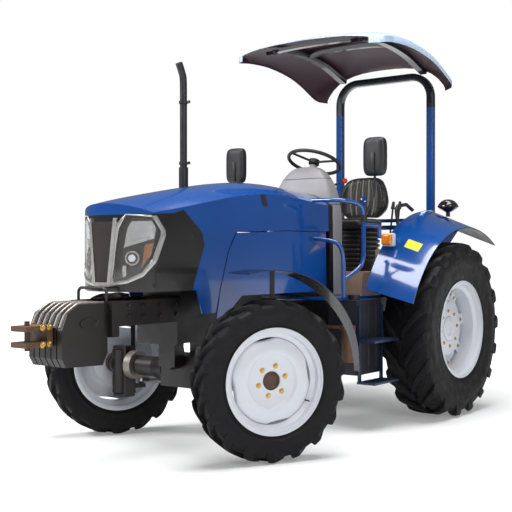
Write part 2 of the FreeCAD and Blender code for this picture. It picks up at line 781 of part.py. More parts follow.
for side, way in SIDES:
    hoop = rail_line([(338, 1110, 1660), (595, 1090, 1645), (605, 1085, 1160),
                      (540, 1095, 1075), (540, 1095, s.floor_height)], way)
    rails.append(hoop)
    rails.append(rail_line([(338, 1020, 1370), (500, 1040, 1360), (500, 1040, s.floor_height)], way))
    tanks.append(block(*span(way, 400, 640), ahead(1110), ahead(1460), Size(400), s.floor_height - 20))
    steps.append(fused([
        block(*span(way, 641, 790), ahead(1110), ahead(1460), Size(640), Size(655)),
        block(*span(way, 641, 790), ahead(1110), ahead(1460), Size(340), Size(355)),
        block(*span(way, 641, 656), ahead(1120), ahead(1150), Size(340), Size(900)),
        block(*span(way, 641, 656), ahead(1430), ahead(1460), Size(340), Size(900)),
    ]))
    arm = bent_tube([(way * 605, float(ahead(1085)), 1560), (way * 640, float(ahead(1200)), 1560),
                     (way * 650, float(ahead(1350)), 1700), (way * 650, float(ahead(1350)), 1850)],
                    8, 30)
    glass = Part.makeBox(170, 40, 290, Vector(way * 650 - 85, float(ahead(1330)), 1845))
    mirrors.append(arm.cut(hoop).fuse(glass))
    turn_lamp = fused([
        block(*span(way, 560, 660), ahead(1580), ahead(1665), Size(1325), Size(1435)),
        block(*span(way, 560, 590), ahead(1660), ahead(1690), Size(1340), Size(1380)),
    ])
    work_lamp = fused([
        round_bar("z", Size(1600), Size(1661), 12, way * 580, behind(450)),
        round_bar("z", Size(1660), Size(1740), 62, way * 580, behind(450)),
    ])
    lamps += [less(turn_lamp, fenders[side]), less(work_lamp, fenders[side])]
    grabs.append(bent_tube([(way * 600, float(behind(-385)), 1500), (way * 600, float(behind(-420)), 1640),
                            (way * 600, float(behind(-250)), 1660),
                            (way * 600, float(behind(-150)), 1620)], 14, 40))
keep(shaped(Part.makeCompound(rails)), "handrails")
keep(group(tanks), "side_tanks")
keep(group(steps), "steps")
keep(shaped(Part.makeCompound(mirrors)), "mirrors")
keep(group(lamps), "lamps")
keep(shaped(Part.makeCompound(grabs)), "grab_handles")

stack_x = -400
stack_y = float(ahead(420))
keep(shaped(bent_tube([(-float(s.engine_half), stack_y, 1150), (stack_x, stack_y, 1150), (stack_x, stack_y, 2500),
                       (stack_x, stack_y + 70, 2640)], 28, 60)), "exhaust_stack")



levers = [bent_tube([(x, ahead(1440), 1780), (x * 1.4, ahead(1520), 1800),
                     (x * 2, ahead(1600), 1850)], 9, 20).cut(console) for x in (120, -120)]
gear = bent_tube([(-300, behind(-250), s.floor_height + 170), (-300, behind(-250), 1400),
                  (-310, behind(-280), 1620)], 9, 60)
keep(shaped(Part.makeCompound(levers + [gear])), "control_levers")


# ------------------------------------------------------------ three-point linkage

pivot_y = behind(200)
link_z = 480
arm_z = 960
throw = 400
end_y = behind(s.rear_overhang)
drop = 0.05


def bar(points, width, x):
    """A flat bar upright across the tractor, from (along, height) corners."""
    return side_prism(points, x - width / 2, x + width / 2)


def link_height(base, reach):
    return base + drop * reach


links = []
arms = []
rods = []
for side, way in SIDES:
    x = way * 300
    tip = float(end_y - pivot_y) - 34
    top = [(float(pivot_y), link_z + 30), (float(pivot_y) + tip, link_height(link_z, tip) + 34)]
    low = [(float(pivot_y) + tip, link_height(link_z, tip) - 34), (float(pivot_y), link_z - 30)]
    link = bar(top + low, 24, x)
    near = Part.makeCylinder(42, 40, Vector(x - 20, float(pivot_y), link_z), Vector(1, 0, 0))
    far = Part.makeCylinder(34, 46, Vector(x - 23, float(pivot_y) + tip, link_height(link_z, tip)),
                            Vector(1, 0, 0))
    hole = Part.makeCylinder(14.25, 80, Vector(x - 40, float(pivot_y) + tip, link_height(link_z, tip)),
                             Vector(1, 0, 0))
    seat = Part.makeCylinder(22.3, 80, Vector(x - 40, float(pivot_y), link_z), Vector(1, 0, 0))
    links.append(link.fuse([near, far]).cut(hole).cut(seat))
    arm_x = way * 262
    height = link_height(arm_z, throw)
    arm = bar([(float(pivot_y), arm_z + 45), (float(pivot_y) + throw, height + 28),
               (float(pivot_y) + throw, height - 28), (float(pivot_y), arm_z - 45)], 28, arm_x)
    eye = Part.makeCylinder(28, 28, Vector(arm_x - 14, float(pivot_y) + throw, height), Vector(1, 0, 0))
    arms.append(arm.fuse(eye))
    rod_x = way * 300
    low_z, high_z = link_height(link_z, throw), height
    rod = Part.makeCylinder(14, high_z - low_z - 90, Vector(rod_x, float(pivot_y) + throw, low_z + 67))
    fork = [Part.makeBox(10, 56, 110, Vector(rod_x + d, float(pivot_y) + throw - 28, low_z - 28))
            for d in (-29, 19)]
    bridge = Part.makeBox(58, 56, 16, Vector(rod_x - 29, float(pivot_y) + throw - 28, low_z + 66))
    top_eye = Part.makeCylinder(26, 30, Vector(rod_x - 15, float(pivot_y) + throw, high_z), Vector(1, 0, 0))
    rods.append(rod.fuse(fork + [bridge, top_eye]))

shaft = Part.makeCylinder(34, 2 * 276, Vector(-276, float(pivot_y), arm_z), Vector(1, 0, 0))
keep(shaped(Part.makeCompound(links)), "lower_links")
keep(shaped(shaft.fuse(arms)), "lift_arms")
keep(shaped(Part.makeCompound(rods)), "lift_rods")

cover = Part.makeBox(420, 210, 90, Vector(-210, float(behind(-60)), float(s.gearbox_top) + 30))
rear_face = float(gear_end)
bosses = [Part.makeBox(60, 120, 105, Vector(x - 30, rear_face - 20, 930)) for x in (-200, 200)]
bored = [b.cut(Part.makeCylinder(34.3, 700, Vector(-350, float(pivot_y), arm_z), Vector(1, 0, 0)))
         for b in bosses]

pins = [Part.makeCylinder(22, 150, Vector(x, float(pivot_y), link_z), Vector(1, 0, 0))
        for x in (180, -330)]
hangers = [Part.makeBox(40, 110, 80, Vector(x, rear_face - 70, link_z - 40)) for x in (190, -230)]
ears = [Part.makeBox(20, 92, 80, Vector(x, rear_face, 760)) for x in (-50, 30)]
web = Part.makeBox(100, 16, 80, Vector(-50, rear_face, 760))
keep(shaped(Part.makeCompound([cover.fuse(bored), pins[0].fuse(hangers[0]), pins[1].fuse(hangers[1]),
                               web.fuse(ears)])), "linkage_housing")

drawbar = fused([
    block(-40, 40, behind(-150), behind(620), Size(392), Size(420)),
    block(-60, 60, behind(60), behind(150), Size(420), s.gearbox_bottom),
    block(-60, 60, behind(-150), behind(-60), Size(420), s.gearbox_bottom),
])
keep(less(drawbar, round_bar("z", Size(380), Size(430), 16.5, 0, behind(580))), "drawbar")

keep(round_bar("y", gear_end + 2, gear_end + 90, 17.46, 0, Size(640)), "pto_shaft")

top_link = fused([
    round_bar("y", gear_end + 60, behind(700), 18, 0, Size(800)),
    round_bar("x", Size(-22), Size(22), 30, gear_end + 60, Size(800)),
    round_bar("x", Size(-25), Size(25), 30, behind(700), Size(800)),
])
keep(less(top_link, round_bar("x", Size(-40), Size(40), 12.8, behind(700), Size(800))), "top_link")


doc.recompute()
for item in doc.Objects:
    if "Invalid" in item.State or "Error" in item.State:
        raise SystemExit(f"{item.Label} did not build: {item.State}")
os.makedirs("parts", exist_ok=True)
for item in PARTS:
    shape = item.Shape
    if shape.isNull() or not shape.isValid():
        raise SystemExit(f"{item.Label} has no valid shape")
    shape.exportStep(f"parts/{item.Label}.step")
    box = shape.BoundBox
    print(f"{item.Label:26s} {shape.Volume / 1e6:9.3f} L  x {box.XMin:7.0f} {box.XMax:7.0f}"
          f"  y {box.YMin:7.0f} {box.YMax:7.0f}  z {box.ZMin:6.0f} {box.ZMax:6.0f}")
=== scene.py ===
# %% [markdown]
# # A utility farm tractor, dressed around its solid model
# The solid model already says where every part is and how it moves. This file gives the tractor
# its looks: paint, rubber, glass and cast iron, and the small forms that a solid model leaves out.
# Everything is in metres, in the solid model's own frame, so nothing has to be fitted into place.

import json
import math

import bmesh
import bpy
from mathutils import Matrix, Vector
from mathutils.bvhtree import BVHTree
from mathutils.geometry import delaunay_2d_cdt


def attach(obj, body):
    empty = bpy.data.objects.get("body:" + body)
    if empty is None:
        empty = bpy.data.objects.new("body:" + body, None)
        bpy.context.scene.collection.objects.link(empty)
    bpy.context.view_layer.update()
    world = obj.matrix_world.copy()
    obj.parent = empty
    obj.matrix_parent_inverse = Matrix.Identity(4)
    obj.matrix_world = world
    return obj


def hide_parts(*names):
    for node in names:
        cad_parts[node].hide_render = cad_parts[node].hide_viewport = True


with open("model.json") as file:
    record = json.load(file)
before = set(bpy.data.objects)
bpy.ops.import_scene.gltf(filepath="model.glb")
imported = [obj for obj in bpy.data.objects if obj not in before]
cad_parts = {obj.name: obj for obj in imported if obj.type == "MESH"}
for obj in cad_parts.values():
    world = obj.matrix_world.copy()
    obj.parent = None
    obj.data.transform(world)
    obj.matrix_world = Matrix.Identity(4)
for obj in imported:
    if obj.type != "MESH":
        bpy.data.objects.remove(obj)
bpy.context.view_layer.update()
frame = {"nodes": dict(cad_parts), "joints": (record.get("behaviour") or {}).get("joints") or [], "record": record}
nodes = frame["nodes"]
joints = {joint["name"]: joint for joint in frame["joints"]}
kingpin = Vector(joints["steer_left"]["pos_m"])
front_y, front_radius = kingpin.y, joints["front_left_spin"]["pos_m"][2]
rear_half_track, rear_y, rear_radius = joints["rear_left_spin"]["pos_m"]
print("front axle at", round(front_y, 4), "rear axle at", round(rear_y, 4))

# %% [markdown]
# ## The camera
# The tractor is seen from its front left, at the height of a person's chest, through a fairly
# long lens. A long lens keeps the front wheel from looking larger than the rear one, so the
# distance is chosen first and the focal length follows from it. Lengths along the tractor are
# measured back from the front axle, because the wheels and the hood were set out from it.

# %% Places and objects
def at(x, back, z):
    """A place: across, behind the front axle, and above the ground."""
    return Vector((x, front_y + back, z))


def shown(name, data):
    """A new object of the scene with this mesh, lamp or camera in it."""
    made = bpy.data.objects.new(name, data)
    bpy.context.scene.collection.objects.link(made)
    return made


# %% Set the camera
view_turn, view_tilt = math.radians(37.16), math.radians(-0.28)
film_width_mm, focal_length_mm = 36, 67.9
camera = shown("camera", bpy.data.cameras.new("camera"))
camera.location = at(4.243, -4.837, 1.293)
camera.rotation_euler = (math.pi / 2 + view_tilt, 0, view_turn)
camera.data.sensor_width = film_width_mm
camera.data.lens = focal_length_mm
bpy.context.scene.camera = camera
print("camera stands", round(camera.location.xy.length, 2), "m from the tractor's middle")

# %% [markdown]
# ## Small helpers for materials
# Paint makers give colours as sRGB hex values, and Blender's shaders work in linear light, so one
# function turns the first into the second. Another adds one node at a time: its settings by
# name, and each input either a plain value or the output that feeds it.

# %% Colours and nodes
def colour(code):
    """An sRGB hex value such as "1a4fa0" as the linear RGBA that a shader wants."""
    parts = [int(code[i:i + 2], 16) / 255 for i in (0, 2, 4)]
    return tuple(p / 12.92 if p <= 0.04045 else ((p + 0.055) / 1.055) ** 2.4 for p in parts) + (1.0,)


def add(tree, kind, inputs=(), **settings):
    """One node: settings are its properties, inputs its sockets, by name or number."""
    made = tree.nodes.new(kind)
    for name, value in settings.items():
        setattr(made, name, value)
    for name, value in dict(inputs).items():
        if isinstance(value, bpy.types.NodeSocket):
            tree.links.new(value, made.inputs[name])
        else:
            made.inputs[name].default_value = value
    return made


print("paint blue in linear light:", [round(v, 3) for v in colour("0f55ab")])

# %% [markdown]
# ## One recipe for worn, real surfaces
# No painted or moulded surface is one flat colour. Each finish below starts from two near tones
# that drift into each other over some centimetres, a roughness that drifts with them, and a
# grain whose size is a real one in millimetres: orange peel in sprayed enamel, sand grain in
# cast iron, texture rolled into moulded plastic. A noise of scale 1 repeats about once a metre,
# so a pattern of so many millimetres has the scale 1000 divided by them. Dust adds a third tone
# that lies only on what faces up. What differs between finishes is the numbers.


def finish(name, slot, tones, drift, rough, grain, depth, dust=None, below=None, **shader):
    """A material. slot: not used; tones: two hex colours; drift and grain:
    sizes in mm; depth: the grain's height in mm; rough: lowest and highest roughness;
    dust: a hex colour and how much of it lies on faces that point up; below: the hex colour
    of faces that look down, painted there as shade; shader: other inputs of the Principled shader."""
    made = bpy.data.materials.new(name)
    made.use_nodes = True
    tree = made.node_tree
    tree.nodes.clear()
    where = add(tree, "ShaderNodeTexCoord").outputs["Object"]
    wander = add(tree, "ShaderNodeTexNoise", {"Vector": where, "Scale": 1000 / drift, "Detail": 5.0,
                                              "Roughness": 0.6}).outputs["Fac"]
    mix = add(tree, "ShaderNodeMix", {0: wander, 6: colour(tones[0]), 7: colour(tones[1])},
              data_type="RGBA")
    if dust or below:
        normal = add(tree, "ShaderNodeNewGeometry").outputs["Normal"]
        up = add(tree, "ShaderNodeSeparateXYZ", {0: normal}).outputs["Z"]
    if dust:
        lies = add(tree, "ShaderNodeMapRange", {"Value": up, "From Min": -0.2, "From Max": 0.9,
                                                "To Min": dust[1] * 0.25, "To Max": dust[1]})
        share = add(tree, "ShaderNodeMath", {0: lies.outputs["Result"], 1: wander},
                    operation="MULTIPLY")
        mix = add(tree, "ShaderNodeMix", {0: share.outputs[0], 6: mix.outputs[2], 7: colour(dust[0])},
                  data_type="RGBA")
    # Painted shade: faces that look down darken to the below colour.
    if below:
        down_facing_shade = add(tree, "ShaderNodeMapRange", {"Value": up, "From Min": -0.12, "From Max": -0.02,
                                                  "To Min": 1.0, "To Max": 0.0})
        mix = add(tree, "ShaderNodeMix",
                  {0: down_facing_shade.outputs["Result"], 6: mix.outputs[2], 7: colour(below)},
                  data_type="RGBA")
    gloss = add(tree, "ShaderNodeMapRange", {"Value": wander, "From Min": 0.3, "From Max": 0.7,
                                             "To Min": rough[0], "To Max": rough[1]})
    bits = add(tree, "ShaderNodeTexNoise", {"Vector": where, "Scale": 1000 / grain, "Detail": 2.0})
    bump = add(tree, "ShaderNodeBump", {"Height": bits.outputs["Fac"], "Distance": depth / 1000,
                                        "Strength": 1.0})
    values = {"Base Color": mix.outputs[2], "Roughness": gloss.outputs["Result"],
              "Normal": bump.outputs["Normal"]}
    values.update(shader)
    body = add(tree, "ShaderNodeBsdfPrincipled", values)
    add(tree, "ShaderNodeOutputMaterial", {"Surface": body.outputs["BSDF"]})
    return made


# %% A clear coat
def coat(weight, rough=0.03):
    """The shader inputs of a clear coat over a finish: how much of it, and how rough it is."""
    return {"Coat Weight": weight, "Coat Roughness": rough}


print("recipe ready")

# %% [markdown]
# ## Paints
# Sheet metal is sprayed blue enamel under a clear coat, so it mirrors the sky on its top and
# stays deep on its sides. Orange peel, the fine unevenness that a spray gun leaves, is 2 mm wide
# and hardly higher than the coat itself. Wheels are baked white enamel, and the chassis is black
# enamel, which goes brown with dust. The hoop's bow is blue tube given a navy black as painted
# shadow of the canopy.

# %% Enamels
# Two near blues under a hard coat: a deep colour with a narrow, bright highlight.
blue_enamel = finish("sprayed_blue_enamel", "blue_paint", ("093f84", "0b4a96"), 500, (0.12, 0.18),
                     2.2, 0.008, **{"Coat Weight": 0.8, "Coat Roughness": 0.04, "Specular IOR Level": 0.5})
# The same blue, with near-black painted shade on the faces that look down at the wheel.
fender_blue_shaded_below = finish("fender_blue_with_painted_shade_below", "blue_paint", ("093f84", "0b4a96"), 500,
                       (0.12, 0.18), 2.2, 0.008, below="0c0c12", **coat(0.8, 0.04))
# Boots and mud leave the steps dull, with grey dust on what faces up; their deep blue is painted shade.
step_blue_painted_shade = finish("dusty_blue_darkened_as_painted_shade", "blue_paint", ("0c1c36", "12284a"), 160, (0.25, 0.4),
                     2.2, 0.02, dust=("3c4652", 0.35))
# Baked enamel: a cool, even white with a soft sheen and field dust on its ledges.
white_enamel = finish("baked_white_enamel", "white_paint", ("cdd2dc", "d9dde4"), 250, (0.3, 0.42),
                      2.5, 0.015, dust=("b9a48c", 0.25), **coat(0.3, 0.15))
# Brushed enamel: nearly black, with brush marks that break its highlights up.
black_enamel = finish("black_chassis_enamel", "black_paint", ("070606", "0e0b0a"), 180, (0.28, 0.45),
                      3, 0.04, **coat(0.2))
# A navy black in two drifting tones: the front fenders' own black, and on the hoop's blue bow painted shadow of
# the canopy.
navy_black_and_canopy_shadow = finish("navy_black_enamel_and_painted_canopy_shadow", "black_paint", ("0a0c18", "11142a"), 200, (0.2, 0.32),
                      2.5, 0.01, **coat(0.5, 0.08))
# Painted sheet indoors: a warm, flat beige.
beige_panel = finish("beige_painted_sheet", "beige_paint", ("a98e74", "bfa589"), 160, (0.4, 0.55),
                     2.0, 0.02)
# A printed plate with nothing printed on it: one clean yellow.
yellow_plate = finish("blank_yellow_plate", "beige_paint", ("e2c800", "efd80c"), 60, (0.35, 0.45),
                      1.0, 0.01)

# %% [markdown]
# ## Castings and metals
# Iron cast in sand keeps the sand's grain, 2 mm wide and 0.2 mm high here, a little coarser than
# the real one so that it shows. Bare metals take their colour in their reflections, so they are
# metallic and their tones are pale. Zinc is passivated yellow, the common finish of farm bolts.

# %% Cast iron
# Paint over sand grain: dark, with a dull sparkle.
cast_iron = finish("painted_sand_cast_iron", "cast_dark", ("080606", "100b09"), 120, (0.35, 0.55),
                   2.0, 0.2, dust=("3a281c", 0.25))
# Unpainted iron under old oil: brown that varies from rust to earth.
rusty_iron = finish("oiled_brown_cast_iron", "cast_dark", ("24140e", "5a3822"), 70, (0.4, 0.65),
                    2.0, 0.3, dust=("94744e", 0.45))
# Bright grey metal: painted highlight on the front weights' top rims, and the colour of the axle sleeves.
bright_metal_and_painted_highlight = finish("bright_grey_metal_and_painted_highlight", "steel", ("6f6a66", "a39c95"), 30, (0.3, 0.5), 1.5, 0.08,
                   Metallic=0.6)

# %% Steel, zinc, chromium and silvered glass
# Turned steel: a neutral grey with a broad highlight.
bare_steel = finish("machined_steel", "steel", ("a8a59f", "bdbab4"), 50, (0.25, 0.4), 1.0, 0.02,
                    Metallic=1.0)
# Passivated zinc: brassy, and uneven from bolt to bolt.
gold_zinc = finish("yellow_passivated_zinc", "steel", ("b7924e", "d2b071"), 20, (0.3, 0.42), 0.8, 0.02,
                   Metallic=0.9)
# Chromium laid on plastic in a vacuum: the brightest mirror on the machine.
chrome = finish("vacuum_chromed_reflector", "steel", ("d4d6d8", "e6e8ea"), 60, (0.08, 0.16), 2.0, 0.01,
                Metallic=0.9)
# Silver behind glass: a clear, slightly blue mirror.
mirror_glass = finish("silvered_glass", "steel", ("c9ccd2", "d4d7dc"), 90, (0.03, 0.05), 3.0, 0.004,
                      Metallic=1.0)
# Steel that heat has greyed: neither paint nor metal to the eye.
exhaust_steel = finish("heat_greyed_exhaust_steel", "black_paint", ("1d1c20", "2c2b30"), 120,
                       (0.35, 0.5), 1.6, 0.05, Metallic=0.4, dust=("6c6a70", 0.2))

# %% [markdown]
# ## Plastics, rubber and cloth
# The nose is gloss black plastic, the console a grained grey one, and tyre rubber is the dullest
# and darkest thing on the machine. The grain of a moulded plastic is etched into its mould, 1 to
# 2 mm from hill to hill. Vinyl copies leather, with a grain of the same size.

# %% Moulded plastics
# Polished ABS: black with a wide soft reflection of the ground.
nose_plastic = finish("gloss_moulded_black_abs", "black_paint", ("090706", "0f0c0a"), 300, (0.2, 0.28),
                      1.5, 0.006, dust=("1e1813", 0.2), **coat(0.5, 0.12))
# Grained polypropylene: a matt black that dust turns grey on top.
black_plastic = finish("black_moulded_polypropylene", "black_plastic", ("0d0d11", "15151a"), 90,
                       (0.42, 0.58), 1.2, 0.04, dust=("3b3a3d", 0.2))
# Blown polyethylene: waxy navy, with the slow waves of a blown wall.
tank_plastic = finish("blow_moulded_navy_polyethylene", "black_plastic", ("14141e", "1c1c2a"), 120,
                      (0.38, 0.5), 2.0, 0.05, dust=("55535c", 0.25))
# Grained grey polypropylene: the one pale, flat surface near the driver.
grey_plastic = finish("grey_moulded_polypropylene", "grey_plastic", ("8a888b", "969497"), 200,
                      (0.42, 0.56), 1.2, 0.03)
# Paint with aluminium flakes: a grey that lights up towards the sky.
silver_trim = finish("silver_painted_trim", "grey_plastic", ("9d9c9a", "b7b6b4"), 200, (0.22, 0.34),
                     0.8, 0.01, Metallic=0.55, **coat(0.4))
# Coloured in the mass and moulded smooth: a clean signal red.
red_plastic = finish("red_moulded_knob", "black_plastic", ("c0200c", "d93015"), 40, (0.25, 0.35),
                     1.2, 0.01)
# The canopy's sheet, bleached by years of sun to a pale blue.
canopy_top = finish("pale_weathered_canopy_sheet", "canopy_plastic", ("a9c2e0", "c4d5ea"), 350,
                    (0.22, 0.32), 2.0, 0.02, **coat(0.4))
# The canopy's underside, always in shade: a dull plum that is painted shade.
canopy_lining = finish("plum_painted_shade_under_canopy", "canopy_plastic", ("331e28", "452a34"), 260,
                       (0.4, 0.5), 2.0, 0.02, **{"Specular IOR Level": 0.3})

# %% Rubber and vinyl
# Rubber full of soot: darker than any paint, with clay left in it.
rubber = finish("tyre_rubber", "tyre", ("08080b", "0e0e12"), 60, (0.5, 0.75), 3.0, 0.12,
                dust=("332f2c", 0.22), **{"Specular IOR Level": 0.22})
# Extruded hose: a little smoother than a tyre.
hose_rubber = finish("hose_rubber", "black_plastic", ("0b0b0c", "131314"), 60, (0.45, 0.6), 1.5, 0.05)
# Coated cloth: black with a faint bloom at its edges.
vinyl = finish("black_seat_vinyl", "seat_cover", ("0d0c0d", "161516"), 40, (0.36, 0.5), 1.4, 0.06,
               **{"Sheen Weight": 0.15})
# The same cloth in cream, for piping and channels.
cream_vinyl = finish("cream_seat_vinyl", "seat_cover", ("7d7464", "91887a"), 50, (0.42, 0.55), 1.4, 0.05)

# %% Lamps and their lenses
# Amber acrylic that glows a little from inside.
amber = finish("amber_acrylic", "lamp_glass", ("e07008", "f59a1c"), 20, (0.12, 0.2), 4.0, 0.2,
               **{"Coat Weight": 0.8, "Subsurface Weight": 0.2})
# The same amber behind a cover, out of the light.
dull_amber = finish("amber_lamp_in_shade", "lamp_glass", ("8a5a2a", "a8703a"), 20, (0.2, 0.3), 4.0, 0.1)
# A reflector whose 9 mm flutes spread the light.
frosted_lens = finish("fluted_reflector", "lamp_glass", ("9a9896", "c4c4c4"), 60, (0.1, 0.25), 9.0, 0.3,
                      Metallic=0.7)
# Clear polycarbonate: seen only by what it mirrors.
clear_lens = finish("clear_polycarbonate", "lamp_glass", ("f2f4f6", "ffffff"), 80, (0.03, 0.06),
                    4.0, 0.004, IOR=1.58, **{"Transmission Weight": 1.0})
# The lamp's inside, tinted so that its reflectors stand out.
bronze_plastic = finish("bronze_lamp_bowl", "black_plastic", ("2c211b", "3d3028"), 80, (0.3, 0.45),
                        2.0, 0.02)
# Brown-black bars with a 4 mm weave between them.
grille_plastic = finish("brown_black_grille", "black_plastic", ("1d1512", "2c211c"), 60, (0.4, 0.55),
                        4.0, 0.4)
# The work lamp's shell: a dark plum with a wet gloss.
plum_plastic = finish("plum_moulded_lamp_shell", "black_plastic", ("1c1218", "2a1b22"), 60,
                      (0.16, 0.26), 1.4, 0.01, **coat(0.6))

# %% [markdown]
# ## Paint the solids
# A solid's mesh stays as it is, and only its material changes. Most take the finish of their
# slot, and a few take a closer one, because two parts in the same black are rarely the same black.

# %% Give every solid its finish
by_slot = {"blue_paint": blue_enamel, "black_paint": black_enamel, "white_paint": white_enamel,
           "cast_dark": cast_iron, "tyre": rubber, "black_plastic": black_plastic,
           "grey_plastic": grey_plastic, "seat_cover": vinyl, "steel": bare_steel,
           "lamp_glass": clear_lens, "beige_paint": beige_panel, "canopy_plastic": canopy_lining}
closer = {"hood_nose": nose_plastic, "rear_fender_left": fender_blue_shaded_below,
          "rear_fender_right": fender_blue_shaded_below, "canopy_frame": navy_black_and_canopy_shadow,
          "side_tanks": tank_plastic, "steps": step_blue_painted_shade, "exhaust_stack": exhaust_steel,
          "front_fender_left": navy_black_and_canopy_shadow, "front_fender_right": navy_black_and_canopy_shadow,
          "hood_rear_frame": black_enamel, "tow_hitch": rusty_iron}
slot_of = {part["node"]: part["material_slot"] for part in frame["record"]["subparts"]}
for name, solid in nodes.items():
    solid.data.materials.clear()
    solid.data.materials.append(closer.get(name, by_slot[slot_of[name]]))
print("closer finishes on", sorted(closer))

# %% [markdown]
# ## Making pieces
# A piece is a mesh with its place in the mesh itself: the object stays at the origin, unturned,
# so a pattern that reads Object coordinates never slides. These few functions make the basic
# forms: a skin over rings, a form turned about an axle, a rounded box and a tube.

# %% From a form to a mesh and back
def mesh_from(form):
    """The mesh of an edited form, which is freed."""
    mesh = bpy.data.meshes.new("form")
    form.to_mesh(mesh)
    form.free()
    return mesh


def form_from(*meshes):
    """One form, ready for editing, of all these meshes."""
    form = bmesh.new()
    for mesh in meshes:
        form.from_mesh(mesh)
    return form


def mesh_of(verts, faces, normals=True):
    """A mesh with doubles merged and, for a closed form, its faces pointing outwards."""
    mesh = bpy.data.meshes.new("form")
    mesh.from_pydata([tuple(v) for v in verts], [], faces)
    form = form_from(mesh)
    bmesh.ops.remove_doubles(form, verts=form.verts, dist=1e-5)
    if normals:
        bmesh.ops.recalc_face_normals(form, faces=form.faces)
    return mesh_from(form)


def evaluated(holder):
    """What an object's modifiers make of it, as a plain mesh."""
    result = holder.evaluated_get(bpy.context.evaluated_depsgraph_get())
    return bpy.data.meshes.new_from_object(result)


# %% A finished piece
def piece(name, mesh, material, body="chassis", crease=35, move=None, stands_for=()):
    """A finished piece: smooth where its faces meet at less than crease degrees."""
    mesh.name = name
    if move:
        mesh.transform(move)
    mesh.materials.clear()
    mesh.materials.append(material)
    mesh.shade_smooth()
    mesh.set_sharp_from_angle(angle=math.radians(crease))
    made = shown(name, mesh)
    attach(made, body)
    if stands_for:
        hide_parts(*stands_for)
    return made


# %% Joined, moved and mirrored meshes
def joined(meshes):
    """Several meshes as one."""
    return mesh_from(form_from(*meshes))


def moved(mesh, matrix):
    """A moved copy of a mesh, put right again where the move mirrors it."""
    copy = mesh.copy()
    copy.transform(matrix)
    if matrix.determinant() < 0:
        copy.flip_normals()
    return copy


MIRROR = Matrix.Scale(-1, 4, (1, 0, 0))


def both(mesh):
    """A form and its mirror image on the tractor's other side."""
    return joined([mesh, moved(mesh, MIRROR)])


# %% Points of a circle
def turns(count):
    """The angles of a full turn in equal steps."""
    return [2 * math.pi * k / count for k in range(count)]


def circle(radius, count):
    """Points of a circle."""
    return [(radius * math.cos(turn), radius * math.sin(turn)) for turn in turns(count)]


# %% Skins over rings
def lofted(rings, closed=True, caps=True):
    """A skin over rings of equally many points."""
    count = len(rings[0])
    verts = [point for ring in rings for point in ring]
    faces = []
    for row in range(len(rings) - 1):
        here, beyond = row * count, (row + 1) * count
        for i in range(count if closed else count - 1):
            j = (i + 1) % count
            faces.append((here + i, here + j, beyond + j, beyond + i))
    if caps and closed:
        faces += [tuple(range(count)), tuple(range((len(rings) - 1) * count, len(rings) * count))]
    return mesh_of(verts, faces)


def turned(profile, steps=72, closed=False):
    """A profile of (along the axle, radius) points turned about the X axis."""
    rings = []
    for i in range(steps + 1):
        turn = 2 * math.pi * i / steps
        rings.append([(x, r * math.cos(turn), r * math.sin(turn)) for x, r in profile])
    return lofted(rings, closed=closed, caps=False)


# %% Rounded boxes
def block(low, high, edge=0.003, segments=2):
    """A box between two corners with rounded edges."""
    form = bmesh.new()
    bmesh.ops.create_cube(form, size=1)
    low, high = Vector(low), Vector(high)
    for v in form.verts:
        v.co = Vector([low[k] + (high[k] - low[k]) * (v.co[k] + 0.5) for k in range(3)])
    bmesh.ops.bevel(form, geom=form.edges[:], offset=edge, segments=segments, affect="EDGES",
                    profile=0.5)
    return mesh_from(form)


# %% Tubes and bars
def tube(points, radius, sides=3, cyclic=False, smooth=8):
    """A round tube that eases round its corners."""
    curve = bpy.data.curves.new("tube", "CURVE")
    curve.dimensions = "3D"
    curve.bevel_depth, curve.bevel_resolution, curve.use_fill_caps = radius, sides, True
    spline = curve.splines.new("NURBS")
    spline.points.add(len(points) - 1)
    for point, place in zip(spline.points, points):
        point.co = (*place, 1)
    spline.order_u = 3
    spline.use_cyclic_u = cyclic
    spline.use_endpoint_u = not cyclic
    spline.resolution_u = smooth
    holder = bpy.data.objects.new("tube", curve)
    mesh = bpy.data.meshes.new_from_object(holder)
    bpy.data.objects.remove(holder)
    return mesh


def rod(start, end, radius, steps=20, tip=None):
    """A straight round bar, its far end another radius where a tip is given."""
    way = Vector(end) - Vector(start)
    mesh = turned([(0, 0), (0, radius), (way.length, tip or radius), (way.length, 0)], steps)
    aim = Vector((1, 0, 0)).rotation_difference(way).to_matrix().to_4x4()
    mesh.transform(Matrix.Translation(start) @ aim)
    return mesh


print("forms ready")

# %% [markdown]
# ## Two trees for parts that repeat
# Bolts and tyre bars repeat by a rule, which is what Geometry Nodes is for. The first tree turns
# copies of a part evenly round an axle. The second sets a copy at every point of a mesh and
# turns its Z axis along a vector stored there, so one call places any set of bolts.

# %% Opening and closing a tree
def new_tree(name, *sockets):
    """A geometry tree with named inputs; returns the tree and its input node's outputs."""
    tree = bpy.data.node_groups.new(name, "GeometryNodeTree")
    tree.interface.new_socket("Geometry", in_out="OUTPUT", socket_type="NodeSocketGeometry")
    for label, kind in sockets:
        tree.interface.new_socket(label, in_out="INPUT", socket_type="NodeSocket" + kind)
    return tree, add(tree, "NodeGroupInput").outputs


def close_tree(tree, spread, material):
    """Realise the copies that were spread, give them their material and send them out."""
    real = add(tree, "GeometryNodeRealizeInstances", {"Geometry": spread.outputs[0]})
    painted = add(tree, "GeometryNodeSetMaterial", {"Geometry": real.outputs[0], "Material": material})
    add(tree, "NodeGroupOutput", {"Geometry": painted.outputs[0]})


